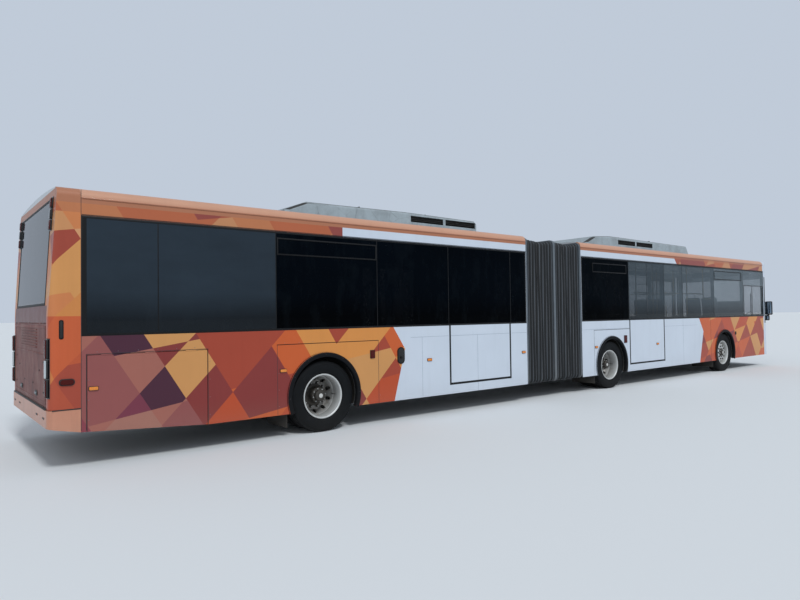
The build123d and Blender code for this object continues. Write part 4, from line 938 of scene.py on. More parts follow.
# Wheels
# Half of the tyre's section as (radius, offset from its mid plane), crown to bead
TYRE_HALF = [
    (0.480, 0.0), (0.480, 0.021), (0.468, 0.0235), (0.468, 0.0305), (0.480, 0.033), (0.480, 0.071),
    (0.468, 0.0735), (0.468, 0.0805), (0.4792, 0.083), (0.4755, 0.1125), (0.470, 0.1230),
    (0.458, 0.1285), (0.440, 0.1325), (0.4385, 0.1352), (0.430, 0.1360), (0.4285, 0.1345),
    (0.412, 0.1366), (0.395, 0.1372), (0.372, 0.1362), (0.350, 0.1328), (0.336, 0.1288),
    (0.334, 0.1303), (0.326, 0.1288), (0.324, 0.1255), (0.316, 0.1180), (0.311, 0.1040),
    (0.305, 0.1020), (0.2908, 0.1020),
]
PITCHES = 60
GAP_SHARE = 0.16
GAP_LOW_R = 0.4745
GAP_START = 0.03
GAP_DEPTH = 0.007


def treaded_tyre(x, middle):
    """One pitch of tread, a block and a gap, repeated round the axle."""
    bm = bmesh.new()
    pitch = 2 * math.pi / PITCHES

    def turn(geom, angle, steps=1, **settings):
        return bmesh.ops.spin(
            bm, geom=geom, cent=(x, 0, AXLE_Z), axis=(0, 1, 0), angle=angle, steps=steps, **settings
        )["geom_last"]

    outline = TYRE_HALF + [(r, -w) for r, w in reversed(TYRE_HALF[1:])]
    start = chain(bm, [(x + r, middle + w, AXLE_Z) for r, w in outline])
    block_end = turn(start, pitch * (1 - GAP_SHARE))
    before = set(bm.faces)
    turn(block_end, pitch * GAP_SHARE)
    gaps = [
        f for f in bm.faces if f not in before
        and all(math.hypot(v.co.x - x, v.co.z - AXLE_Z) > GAP_LOW_R for v in f.verts)
        and abs(f.calc_center_median().y - middle) > GAP_START
    ]
    sunk = bmesh.ops.extrude_discrete_faces(bm, faces=gaps)["faces"]
    for v in {v for f in sunk for v in f.verts}:
        v.co -= Vector((v.co.x - x, 0, v.co.z - AXLE_Z)).normalized() * GAP_DEPTH
    whole = bm.verts[:] + bm.edges[:] + bm.faces[:]
    turn(whole, 2 * math.pi - pitch, PITCHES - 1, use_duplicate=True)
    bmesh.ops.remove_doubles(bm, verts=bm.verts, dist=2e-5)
    return bm


# Sections of the wheel's parts as (radius, offset outward from the wheel's plane)
BARREL = [
    (0.272, -0.114), (0.300, -0.116), (0.3035, -0.111), (0.302, -0.106), (0.2905, -0.104), (0.2895, -0.05),
    (0.283, -0.03), (0.283, 0.03), (0.2895, 0.05), (0.2905, 0.104), (0.302, 0.106), (0.3035, 0.111),
    (0.300, 0.116), (0.290, 0.1165), (0.281, 0.108), (0.276, 0.090), (0.2725, 0.06), (0.2715, 0.0),
    (0.2715, -0.06),
]
TWIN_DISC = [
    (0.2735, -0.070), (0.2735, -0.056), (0.262, -0.060), (0.243, -0.092), (0.224, -0.128), (0.206, -0.1425),
    (0.150, -0.1435), (0.104, -0.1435), (0.104, -0.1548), (0.206, -0.1548), (0.230, -0.139),
    (0.252, -0.104), (0.267, -0.078),
]
FRONT_DISC = [
    (0.2735, -0.004), (0.2735, 0.012), (0.262, 0.018), (0.246, 0.030), (0.226, 0.052), (0.206, 0.0665),
    (0.180, 0.0700), (0.104, 0.0700), (0.104, 0.0580), (0.200, 0.0560), (0.222, 0.040), (0.246, 0.014),
    (0.262, 0.000),
]
TWIN_HUB = [
    (0.0, 0.057), (0.046, 0.056), (0.068, 0.050), (0.076, 0.040), (0.078, 0.004), (0.092, 0.001),
    (0.103, -0.004), (0.106, -0.012), (0.107, -0.094), (0.122, -0.112), (0.150, -0.118), (0.152, -0.143),
    (0.0, -0.143),
]
FRONT_HUB = [
    (0.0, 0.119), (0.044, 0.118), (0.064, 0.112), (0.071, 0.104), (0.073, 0.094), (0.090, 0.091),
    (0.102, 0.086), (0.106, 0.078), (0.118, 0.0735), (0.118, 0.0705), (0.0, 0.0705),
]
CAP = [(0.0, 0.019), (0.022, 0.0185), (0.038, 0.014), (0.044, 0.003), (0.0, 0.002)]
HAND_HOLES = 10
HOLE_RING = 0.226
NUT_RING = 0.1675
CAP_RING = 0.091
CAP_BOLTS = 8
DRILL_IN, DRILL_OUT = 0.35, 0.15
# Washer, nut and stud of each wheel nut: from and to outward, radius, sides, softening, finish
NUT_PARTS = [
    (0, 0.006, 0.0225, 16, 0.001, 1), (0.005, 0.026, 0.0175, 6, 0.0015, 1), (0.02, 0.038, 0.0105, 10, 0, 0),
]


def shifted(points, side, middle, flip=1):
    return [(r, side * (middle + flip * w)) for r, w in points]


def ring_places(count, radius, x, start=0.0):
    """Centres of a ring of like things round the axle, as (x, z) pairs."""
    turns = [start + 2 * math.pi * i / count for i in range(count)]
    return [(x + radius * math.cos(t), AXLE_Z + radius * math.sin(t)) for t in turns]


def drilled_disc(points, x, y_low, y_high):
    holes = bmesh.new()
    for place in ring_places(HAND_HOLES, HOLE_RING, x, math.pi / 10):
        gather(holes, pin(*place, y_low, y_high, 0.0265, 20))
    return cut_away(lathe(points, x, AXLE_Z, 80), holes)


def wheel(name, x, side, twin):
    word = "left" if side > 0 else "right"
    body = f"{name}_wheel_{word}"
    planes = [WHEEL_PLANE, WHEEL_PLANE - TWIN_SPACING] if twin else [WHEEL_PLANE]
    disc, hub, nut_seat, bolt_seat = (
        (TWIN_DISC, TWIN_HUB, -0.1435, 0.0) if twin else (FRONT_DISC, FRONT_HUB, 0.070, 0.09)
    )
    rubber = Piece(f"{name}_tyre_{word}_treaded", TYRE)
    for plane in planes:
        rubber.add(treaded_tyre(x, side * plane))
    rubber.done(body, [f"{name}_tyre_{word}"], sharp=32)

    rim = Piece(f"{name}_rim_{word}_dressed", RIM, HUB_METAL, CAP_METAL, RUBBER)
    y_ends = sorted((side * (WHEEL_PLANE - DRILL_IN), side * (WHEEL_PLANE + DRILL_OUT)))
    for plane, flip, steps in zip(planes, (1, -1), (96, 64)):
        rim.add(lathe(shifted(BARREL, side, plane), x, AXLE_Z, steps))
        rim.add(drilled_disc(shifted(disc, side, plane, flip), x, *y_ends))
    if twin:
        spacer = [(0.104, 0.60), (0.19, 0.60), (0.19, 0.90), (0.104, 0.90)]
        rim.add(lathe(shifted(spacer, side, 0), x, AXLE_Z, 40), 1)
    rim.add(lathe(shifted(hub, side, WHEEL_PLANE), x, AXLE_Z, 56, closed=False), 1)
    crown = WHEEL_PLANE + hub[3][1]
    rim.add(lathe(shifted(CAP, side, crown), x, AXLE_Z, 40, closed=False), 2)
    for place in ring_places(HAND_HOLES, NUT_RING, x):
        y = side * (WHEEL_PLANE + nut_seat)
        for y0, y1, radius, sides, soften, finish in NUT_PARTS:
            rim.add(pin(*place, y + side * y0, y + side * y1, radius, sides, soften=soften), finish)
    for place in ring_places(CAP_BOLTS, CAP_RING, x, 0.2):
        y = side * (WHEEL_PLANE + bolt_seat)
        rim.add(pin(*place, y - side * 0.002, y + side * 0.009, 0.0085, 6, soften=0.001))
    y = side * (WHEEL_PLANE - 0.02)
    valve = rod((x + 0.252, y - side * 0.07, AXLE_Z), (x + 0.24, y + side * 0.05, AXLE_Z), 0.0045, 10)
    rim.add(valve, 3)
    rim.done(body, [f"{name}_rim_{word}"], sharp=30)


for side in (1, -1):
    wheel("rear", REAR_AXLE, side, True)
    wheel("mid", MID_AXLE, side, True)
    wheel("front", FRONT_AXLE, side, False)

SECTIONS = ("rear", "front")

# Rubber lips round the wheel openings, as (radius beyond the opening's, y)
FLARE = [
    (-0.009, 1.214), (-0.009, 1.258), (-0.003, 1.268), (0.015, 1.273), (0.037, 1.271), (0.053, 1.266),
    (0.060, 1.256), (0.060, 1.2495), (0.001, 1.2495), (0.001, 1.214),
]
FLARE_END = -21.5
FLARE_BOLT_RING = ARCH_R + 0.028


def arch_flares(section, axles):
    flare = Piece(f"{section}_arch_flares", FLARE_RUBBER, PLASTIC)
    outline = [(ARCH_R + r, y) for r, y in FLARE]
    for x in axles:
        flare.add(arc_band(outline, x, ARCH_Z, FLARE_END, 180 - FLARE_END, 56), 0, BOTH)
        for turn in range(0, 181, 30):
            bolt_x = x + FLARE_BOLT_RING * math.cos(math.radians(turn))
            bolt_z = ARCH_Z + FLARE_BOLT_RING * math.sin(math.radians(turn))
            flare.add(pin(bolt_x, bolt_z, 1.270, 1.2755, 0.007, 8, 0.005), 1, BOTH)
    flare.done(f"{section}_section")


arch_flares("rear", [REAR_AXLE])
arch_flares("front", [MID_AXLE, FRONT_AXLE])


FLAP_IN, FLAP_OUT, FLAP_HANGER = 0.66, 1.2, 0.352


def mud_flaps(section, places):
    flap = Piece(f"{section}_mud_flaps", RUBBER, ALUMINIUM)
    for x, low in places:
        flap.add(slab((x - 0.003, FLAP_IN, low), (x + 0.003, FLAP_OUT, 0.36), 0.001), 0, BOTH)
        flap.add(slab((x - 0.008, FLAP_IN, FLAP_HANGER), (x + 0.008, FLAP_OUT, 0.376), 0.002), 1, BOTH)
    flap.done(f"{section}_section")


mud_flaps("rear", [(REAR_AXLE - 0.56, 0.12)])
mud_flaps("front", [(MID_AXLE - 0.56, 0.14), (FRONT_AXLE - 0.6, 0.14)])

# Window bands as distances forward of the tail: each group's ends and the joints of its panes
BAYS = {
    "rear": [
        ([RIGHT], (0.306, 1.09, 2.562, 4.178, 5.592, 7.072, 7.49)),
        ([LEFT], (0.306, 1.09, 2.562, 4.178, 5.592)), ([LEFT], (7.072, 7.49)),
    ],
    "front": [
        ([RIGHT], (9.17, 10.86, 11.6, 12.34, 13.2, 14.83, 16.55, 17.915)), ([LEFT], (9.17, 10.86)),
        ([LEFT], (12.34, 13.2, 14.83, 16.15)), ([LEFT], (17.66, 17.915)),
    ],
}
# Opening top lights, as (sides, from, to, low, high)
HOPPERS = {
    "rear": [(BOTH, 2.577, 4.168, 2.359, 2.581)],
    "front": [
        (BOTH, 9.544, 10.777, 2.368, 2.556), ([RIGHT], 14.868, 16.461, 2.356, 2.58),
        ([LEFT], 14.868, 16.12, 2.356, 2.58),
    ],
}


GASKET_WIDTH = 0.026
HOPPER_FRAME = 0.018
LATCH_OFFSET = 0.18
# The driver's window frame and its sliding edge, as (from, to, low, high)
DRIVER_FRAME = (16.60, 17.875, 1.43, 2.245)
DRIVER_SLIDE = (17.13, 17.155, 1.44, 2.235)


def window_trim(section):
    trim = Piece(f"{section}_window_trim", GASKET, PLASTIC, ALUMINIUM)
    for sides, (first, *joints, last) in BAYS[section]:
        low = (at(first) - 0.004, HALF - 0.004, BELT - 0.008)
        high = (at(last) + 0.004, HALF + 0.0025, WINDOW_TOP + 0.008)
        trim.add(frame_ring(low, high, GASKET_WIDTH), 0, sides)
        for x in map(at, joints):
            trim.add(strip(x - 0.006, x + 0.006, BELT, WINDOW_TOP, -0.007, 0.0012, 0.001), 0, sides)
    for sides, d0, d1, z0, z1 in HOPPERS[section]:
        low, high = (at(d0), HALF - 0.001, z0), (at(d1), HALF + 0.007, z1)
        trim.add(frame_ring(low, high, HOPPER_FRAME, soften=0.002), 0, sides)
        middle = at((d0 + d1) / 2)
        for x in (middle - LATCH_OFFSET, middle + LATCH_OFFSET):
            latch = strip(x - 0.03, x + 0.03, z0 + 0.004, z0 + 0.028, -0.03, -0.008, 0.004)
            trim.add(latch, 2, sides)
    if section == "rear":
        post = strip(at(0.304), at(0.352), BELT, WINDOW_TOP, -0.003, 0.0018, 0.0008, 1)
        trim.add(post, 0, BOTH)
    else:
        d0, d1, z0, z1 = DRIVER_FRAME
        frame_edge = frame_ring((at(d0), HALF - 0.001, z0), (at(d1), HALF + 0.006, z1), 0.02)
        trim.add(frame_edge, 1, [RIGHT])
        d0, d1, z0, z1 = DRIVER_SLIDE
        trim.add(strip(at(d0), at(d1), z0, z1, -0.001, 0.006, 0.002), 1, [RIGHT])
    trim.done(f"{section}_section")


for section in SECTIONS:
    window_trim(section)


# Panel joints of the skirts, as (from, to, low, high) in distance and height
def belt_seam(first, last):
    return first, last, BELT_SEAM, BELT_SEAM


FINE, PALE, BOLD = 0, 1, 2
JOINT_WIDTHS = (0.005, 0.0045, 0.009)
SKIRT_END = 0.312
FLAP_TOP = 1.197
JOINTS = {
    "rear": [
        (BOTH, FINE, [(0.3, 0.3, 0.405, 2.93), (2.572, 2.572, SKIRT_END, 1.204)]),
        (BOTH, FINE, [(4.187, 4.187, SKIRT_END, 1.204)]),
        (BOTH, BOLD, [(2.572, 4.187, 1.204, 1.204)]),
        ([RIGHT], PALE, [belt_seam(4.8, 5.58), belt_seam(5.632, 7.032), belt_seam(7.09, 7.49)]),
        ([RIGHT], PALE, [(5.025, 5.025, SKIRT_END, BELT_SEAM), (6.238, 6.238, SKIRT_END, BELT_SEAM)]),
        ([RIGHT], FINE, [(0.3485, 0.3485, 0.4, FLAP_TOP), (0.3485, 1.6625, FLAP_TOP, FLAP_TOP)]),
        ([RIGHT], FINE, [(1.6625, 1.6625, SKIRT_END, FLAP_TOP)]),
        ([LEFT], PALE, [belt_seam(4.8, 5.59), belt_seam(7.08, 7.49)]),
        ([LEFT], FINE, [(5.025, 5.025, SKIRT_END, 1.38), (1.66, 1.66, SKIRT_END, 1.38)]),
    ],
    "front": [
        (BOTH, FINE, [(9.565, 9.565, SKIRT_END, 1.207), (14.62, 14.62, SKIRT_END, 1.38)]),
        (BOTH, BOLD, [(9.565, 10.858, 1.207, 1.207)]),
        (BOTH, PALE, [(13.2, 13.2, SKIRT_END, 1.38)]),
        ([RIGHT], PALE, [belt_seam(9.17, 10.85), belt_seam(12.35, 13.9)]),
        ([LEFT], PALE, [belt_seam(9.17, 10.86), belt_seam(12.34, 13.9)]),
    ],
}
DOOR_LENGTH = 1.456
BLANK_DOORS = {"rear": DOORS["rear"], "front": DOORS["centre"]}
BLANK_LAP = 0.007
BLANK_LOW = 0.452 - BLANK_LAP
BLANK_FRAME = 0.034
SCREW_SPACING = 0.21
SCREW_INSET = 0.022


def panel_joints(section):
    lines = Piece(f"{section}_panel_joints", SEALER, PALE_SEAM, GASKET, ALUMINIUM)
    for sides, kind, joints in JOINTS[section]:
        grow = JOINT_WIDTHS[kind] / 2
        for d0, d1, z0, z1 in joints:
            joint = strip(at(d0) - grow, at(d1) + grow, z0 - grow, z1 + grow, -0.002, 0.0012, 0.0005, 1)
            lines.add(joint, kind, sides)
            if d0 < TAIL_CAP + 0.01 or kind == PALE:
                continue
            for i in range(int(max(d1 - d0, z1 - z0) / SCREW_SPACING)):
                step = SCREW_SPACING * (i + 0.5)
                across, up = (SCREW_INSET, step) if d0 == d1 else (step, SCREW_INSET)
                screw = pin(at(d0) + across, z0 + up, HALF - 0.001, HALF + 0.002, 0.005, 6, 0.0035)
                lines.add(screw, 3, sides)
    start, end = BLANK_DOORS[section], BLANK_DOORS[section] + DOOR_LENGTH
    outer, top = (start - BLANK_LAP, end + BLANK_LAP), BELT - 0.006
    for d0, d1, top in (
        (outer[0], outer[0] + BLANK_FRAME, top), (outer[1] - BLANK_FRAME, outer[1], top),
        (start, end, BLANK_LOW + BLANK_FRAME),
    ):
        lines.add(strip(at(d0), at(d1), BLANK_LOW, top, -0.004, 0.002, 0.001, 1), 2, [RIGHT])
    lines.done(f"{section}_section", sharp=30)


for section in SECTIONS:
    panel_joints(section)


def roof_gutters(section, x0, x1):
    gutter = Piece(f"{section}_roof_gutters", SALMON, RUBBER)
    gutter.add(strip(x0, x1, GUTTER - 0.006, GUTTER + 0.006, -0.006, 0.009), 0, BOTH)
    gutter.add(strip(x0, x1, WINDOW_TOP + 0.012, WINDOW_TOP + 0.019, -0.004, 0.005, 0.002), 1, BOTH)
    gutter.done(f"{section}_section")


roof_gutters("rear", TAIL_SEAM + 0.01, REAR_END - 0.004)
roof_gutters("front", FRONT_START + 0.004, MASK_SEAM - 0.004)


# Lamps and fittings on the flanks
def marker(piece, x, z, sides=BOTH, finish=0, length=0.088, height=0.036):
    """A small lens on its rubber bed."""
    piece.add(on_flank(x, z, length / 2 + 0.006, height / 2 + 0.005, -0.001, 0.005, 0.008), 1, sides)
    piece.add(on_flank(x, z, length / 2, height / 2, 0.003, 0.016, 0.010, 0.004), finish, sides)


# Amber markers and dark red reflectors, as (distance, height) and what differs from a marker
LENSES = {
    "rear": [(2.654, 0.87), (5.17, 0.87), (7.4, 0.878), (4.08, 1.01, BOTH, 2, 0.075, 0.11)],
    "front": [
        (9.633, 0.869), (12.011, 0.842, [RIGHT]), (12.6, 0.85, [LEFT]), (10.70, 0.993, BOTH, 2, 0.1, 0.15),
    ],
}
for section in SECTIONS:
    lamps = Piece(f"{section}_side_markers", AMBER_LENS, RUBBER, DARK_RED)
    for distance, *row in LENSES[section]:
        marker(lamps, at(distance), *row)
    if section == "front":
        lamps.add(on_flank(at(16.04), 0.965, 0.04, 0.045, -0.001, 0.009, 0.035, 0.004), 1, [RIGHT])
    lamps.done(f"{section}_section")

flap_lamp = Piece("side_flap_marker", AMBER_LENS, RUBBER)
marker(flap_lamp, at(0.417), 0.834, [RIGHT])
flap_lamp.done("side_flap")

# Handle recess, oval lamp and fuel filler on the flanks near the tail: the plate's distance and
# height, its half sizes, from and to beyond the skin, corner, softening, finish and sides
FLANK_PLATES = [
    (0.114, 1.462, 0.022, 0.1, -0.001, 0.004, 0.018, 0.002, 0, BOTH),
    (0.114, 1.462, 0.012, 0.085, 0.003, 0.006, 0.011, 0.002, 2, BOTH),
    (0.165, 0.918, 0.075, 0.036, -0.001, 0.007, 0.034, 0.002, 2, BOTH),
    (0.165, 0.918, 0.064, 0.027, 0.005, 0.021, 0.026, 0.006, 1, BOTH),
    (4.602, 0.964, 0.07, 0.125, -0.001, 0.010, 0.066, 0.004, 0, [RIGHT]),
    (4.602, 0.964, 0.054, 0.109, 0.009, 0.012, 0.05, 0.002, 2, [RIGHT]),
]
kit = Piece("tail_side_fittings", GASKET, DARK_RED, RUBBER)
for distance, z, *shape, finish, sides in FLANK_PLATES:
    kit.add(on_flank(at(distance), z, *shape), finish, sides)
kit.add(pin(at(4.598), 0.934, HALF + 0.01, HALF + 0.024, 0.021, 20, soften=0.003), 0, [RIGHT])
kit.done("rear_section")

# Tail: the upper half leans forward
RAKE = 0.08 / (ROOF_CROWN - RAKE_START)
RAKE_SHEAR = Matrix(((1, 0, RAKE, -RAKE_START * RAKE), (0, 1, 0, 0), (0, 0, 1, 0), (0, 0, 0, 1)))
TAIL_GASKET_HALF, TAIL_GASKET_LOW, TAIL_GASKET_TOP = 1.004, 1.716, 2.854


def tail_trim():
    """Window gasket, and the blank sign box behind the glass."""
    trim = Piece("tail_window_trim", RUBBER, PLASTIC, SIGN_PANEL)
    low = (TAIL - 0.004, -TAIL_GASKET_HALF, TAIL_GASKET_LOW)
    high = (TAIL + 0.004, TAIL_GASKET_HALF, TAIL_GASKET_TOP)
    trim.add(frame_ring(low, high, GASKET_WIDTH, across=0, soften=0.002), 0, [RAKE_SHEAR])
    trim.add(crossbar(TAIL + 0.09, TAIL + 0.13, 0.62, 2.40, 2.76, 0.008), 1, [RAKE_SHEAR])
    trim.add(crossbar(TAIL + 0.083, TAIL + 0.092, 0.56, 2.44, 2.72), 2, [RAKE_SHEAR])
    trim.done("rear_section")


def tail_lamp_modules():
    """Round-cornered lenses set in the dark strips: three low, three high on each side."""
    lamps = Piece("tail_lamp_modules", SMOKED, DARK_RED, CLEAR_LENS, RUBBER)
    half, inset = 0.042, 0.006
    for y, modules, lean in (
        (1.167, [(0.765, 0.95, 1), (0.957, 1.153, 2), (1.16, 1.364, 1)], LEFT),
        (1.06, [(2.508, 2.615, 1), (2.625, 2.733, 0), (2.743, 2.85, 1)], RAKE_SHEAR),
    ):
        places = [mirror @ lean for mirror in BOTH]
        for z0, z1, finish in modules:
            z, half_z = (z0 + z1) / 2, (z1 - z0) / 2
            lamps.add(on_tail(y, z, half, half_z, -0.016, 0.002, 0.014, 0.003), 3, places)
            face = on_tail(y, z, half - inset, half_z - inset, -0.026, -0.012, 0.012, 0.004)
            lamps.add(face, finish, places)
    lamps.done("rear_section")


def bumper_fittings():
    """Lip above the bumper and small slots on the bumper's face."""
    kit = Piece("bumper_fittings", PLASTIC, RUBBER)
    kit.add(crossbar(TAIL - 0.014, TAIL + 0.03, 1.12, 0.628, 0.648, 0.005), 1)
    for y in (1.02, 0.62):
        kit.add(on_tail(y, 0.54, 0.05, 0.01, -0.0155, -0.010, 0.009), 0, BOTH)
    kit.add(strip(TAIL + 0.03, TAIL_SEAM - 0.002, 0.629, 0.641, -0.002, 0.004, 0.002), 1, BOTH)
    kit.done("rear_section")


LID_PLUGS = [(0.95, 0.80), (0.95, 1.12), (0.3, 0.86), (0.7, 1.02)]
LATCH_Y, LATCH_Z = 0.52, 0.7625
RIBS = 7
RIB_LOW = 1.26
RIB_SPACING = 0.032


def lid_fittings():
    """Pressed border and ribs, latches and plugs on the engine lid."""
    kit = Piece("engine_lid_fittings", LID_PAINT, PLASTIC, ALUMINIUM, RUBBER)
    low, high = (TAIL - 0.004, -1.08, 0.68), (TAIL + 0.002, 1.08, 1.505)
    kit.add(frame_ring(low, high, 0.03, across=0, soften=0.003))
    kit.add(crossbar(TAIL - 0.005, TAIL + 0.002, 1.06, 1.196, 1.214))
    kit.add(on_tail(LATCH_Y, LATCH_Z, 0.07, 0.0275, -0.008, 0.002, 0.02), 1, BOTH)
    kit.add(on_tail(LATCH_Y, LATCH_Z, 0.045, 0.0125, -0.016, -0.006, 0.01), 2, BOTH)
    for y, z in LID_PLUGS:
        kit.add(rod((TAIL + 0.002, y, z), (TAIL - 0.005, y, z), 0.011, 14, 0.008), 3, BOTH)
    for i in range(RIBS):
        z = RIB_LOW + RIB_SPACING * i
        kit.add(crossbar(TAIL - 0.010, TAIL + 0.002, 0.55, z, z + 0.014, 0.004))
    kit.done("engine_lid")


tail_trim()
tail_lamp_modules()
bumper_fittings()
lid_fittings()

# Bellows: a pleated sleeve dragged round the section of the joint
BELLOWS_HALF = 1.238
BELLOWS_LOW = 0.292
BELLOWS_TOP = 2.925
BELLOWS_CORNER = 0.09
PLEAT_DEPTH = 0.042
PLEATS = 9
POINTS_PER_PLEAT = 8
STEPS_ACROSS = 12
STEPS_UP = 16
ROOF_SAG = 0.045
PORTAL = 0.05
HOOP = 0.06
CLOTH = 0.005
CLOTH_GAP = 0.0005


def edges_of(geometry):
    return [g for g in geometry if isinstance(g, bmesh.types.BMEdge)]


def drag(bm, edges, step, count):
    """Extrudes a chain of edges in equal steps and returns the last chain."""
    for _ in range(count):
        made = bmesh.ops.extrude_edge_only(bm, edges=edges)["geom"]
        fresh = [g for g in made if isinstance(g, bmesh.types.BMVert)]
        edges = [e for e in edges_of(made) if e.verts[0] in fresh and e.verts[1] in fresh]
        bmesh.ops.translate(bm, verts=fresh, vec=step)
    return edges


def fold_depth(share):
    """Depth of the cloth below its crests at a share of the half's length."""
    wave = 0.5 + 0.5 * math.cos(2 * math.pi * PLEATS * share)
    return PLEAT_DEPTH * wave ** 1.5


def sway(bm, x0, x1):
    """Sags the roof and waves the cloth between its fixed ends. Stores each place in its fold."""
    waves = [random.uniform(0, 2 * math.pi) for _ in range(4)]
    fold = bm.verts.layers.float.new("fold")
    for v in bm.verts:
        share = (v.co.x - x0) / (x1 - x0)
        v[fold] = 2 * abs(share * PLEATS % 1 - 0.5)
        free = math.sin(math.pi * share)
        height = (v.co.z - BELLOWS_LOW) / (BELLOWS_TOP - BELLOWS_LOW)
        pleat = int(share * PLEATS + 0.5)
        if height > 0.9:
            v.co.z -= ROOF_SAG * free * (height - 0.9) / 0.1
            v.co.z -= 0.008 * free * math.sin(3.1 * v.co.y + waves[0] + 1.7 * pleat)
        if height < 0.1:
            v.co.z += 0.012 * free * math.sin(1.9 * pleat + waves[3]) * (0.1 - height) / 0.1
        v.co.x += free * 0.009 * math.sin(2.4 * v.co.z + 1.9 * pleat + waves[1])
        inward = 0.5 + 0.5 * math.sin(1.8 * v.co.z + 2.3 * pleat + waves[2])
        v.co.y -= math.copysign(free * 0.010 * inward, v.co.y)


def bellows_half(section, near, far):
    bm = bmesh.new()
    x0, x1 = near + CLOTH_GAP, far - CLOTH_GAP
    count = PLEATS * POINTS_PER_PLEAT
    shares = [i / count for i in range(count + 1)]
    rows = [(share, fold_depth(share)) for share in shares]
    rows += [(share, fold_depth(share) + CLOTH) for share in reversed(shares)]
    inner_y = BELLOWS_HALF - BELLOWS_CORNER
    low_z, top_z = BELLOWS_LOW + BELLOWS_CORNER, BELLOWS_TOP - BELLOWS_CORNER
    places = [(x0 + (x1 - x0) * share, -inner_y, BELLOWS_LOW + depth) for share, depth in rows]
    edges = edges_of(chain(bm, places))
    across, up = 2 * inner_y / STEPS_ACROSS, (top_z - low_z) / STEPS_UP
    for step, steps, y, z in (
        ((0, across, 0), STEPS_ACROSS, inner_y, low_z), ((0, 0, up), STEPS_UP, inner_y, top_z),
        ((0, -across, 0), STEPS_ACROSS, -inner_y, top_z), ((0, 0, -up), STEPS_UP, -inner_y, low_z),
    ):
        edges = drag(bm, edges, step, steps)
        loop = list({v for e in edges for v in e.verts}) + edges
        turned = bmesh.ops.spin(bm, geom=loop, cent=(0, y, z), axis=(1, 0, 0), angle=math.pi / 2, steps=5)
        edges = edges_of(turned["geom_last"])
    bmesh.ops.remove_doubles(bm, verts=bm.verts, dist=1e-4)
    sway(bm, x0, x1)
    chart = bm.loops.layers.uv.new("cloth")
    bmesh.ops.recalc_face_normals(bm, faces=bm.faces)
    for face in bm.faces:
        face.smooth = True
        for loop in face.loops:
            loop[chart].uv = (loop.vert.co.x, loop.vert.co.z + loop.vert.co.y)
    made = link(f"{section}_bellows_cloth", bm)
    made.data.materials.append(BELLOWS)
    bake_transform(made)
    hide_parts(f"{section}_bellows")


# Each half of the bellows runs from its portal to the hoop
rear_near, rear_far = REAR_END + PORTAL, PIVOT - HOOP / 2
front_near, front_far = PIVOT + HOOP / 2, FRONT_START - PORTAL
bellows_half("rear", rear_near, rear_far)
bellows_half("front", front_near, front_far)


# Roof
FAN_RADIUS = 0.21
FAN_RIM = 0.02
FAN_HEIGHT = 0.028
FAN_Y = 0.45
BLADES = 6
BLADE_PITCH = 0.3


def fan(kit, x, y, z, turn):
    """Round guard, six blades and the motor's cap."""
    guard = bmesh.new()
    place = Matrix.Translation((x, y, z))
    bmesh.ops.create_circle(guard, cap_ends=True, segments=28, radius=FAN_RADIUS, matrix=place)
    bmesh.ops.inset_individual(guard, faces=guard.faces[:], thickness=FAN_RIM)
    middle = [f for f in guard.faces if len(f.verts) > 4]
    bmesh.ops.delete(guard, geom=middle, context="FACES_ONLY")
    bmesh.ops.solidify(guard, geom=guard.faces[:], thickness=FAN_HEIGHT)
    kit.add(guard, 1)
    pitch = Matrix.Rotation(BLADE_PITCH, 4, "X")
    for spoke in range(BLADES):
        around = Matrix.Rotation(math.radians(360 / BLADES * spoke + turn), 4, "Z")
        blade = slab((0.03, -0.022, 0), (0.185, 0.022, 0.004), 0.001, 1)
        kit.add(moved(blade, Matrix.Translation((x, y, z + 0.01)) @ around @ pitch), 1)
    kit.add(rod((x, y, z - 0.004), (x, y, z + 0.026), 0.05, 18, soften=0.004), 1)


def roof_kit(section, hatches):
    """Joints of the pod's lids, its fans, and roof hatches."""
    kit = Piece(f"{section}_roof_kit", POD_PAINT, PLASTIC, RUBBER)
    low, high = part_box(f"{section}_roof_pod")
    for x in (low.x + 1.25, low.x + 2.55):
        kit.add(crossbar(x - 0.006, x + 0.006, 0.93, high.z - 0.06, high.z - 0.0035, 0.002), 2)
    for i, x in enumerate((low.x + 0.95, low.x + 1.6, low.x + 2.25)):
        for y in (-FAN_Y, FAN_Y):
            fan(kit, x, y, high.z - 0.034, 12 * i)
    for x in map(at, hatches):
        kit.add(plate(2, (x, 0), (0.32, 0.4), (2.985, 3.012), 0.05, 0.004), 2)
        kit.add(plate(2, (x, 0), (0.29, 0.37), (3.008, 3.045), 0.06, 0.012), 0)
    kit.done(f"{section}_section")


roof_kit("rear", [1.4, 2.2])
roof_kit("front", [15.2, 16.8])

# Nose
BOW_RADIUS = 17.38
SEAL_END = 0.98
SEAL_STEPS = 16
WIPER_FOOT_Y = 0.18
WIPER_Y = 0.82
NOSE_LAMP_Y, NOSE_LAMP_Z = 0.52, 0.6
HEAD_LAMPS_Y = (0.78, 0.925)
SEAL_HEIGHTS = (SCREEN_LOW - 0.012, SCREEN_TOP + 0.002, 0.50)
GRILLE_BARS = 6
GRILLE_LOW = 0.78
BAR_SPACING = 0.045


def nose_face(y):
    """X of the bowed nose at a place across it."""
    return NOSE - BOW_RADIUS + math.sqrt(BOW_RADIUS ** 2 - y * y)


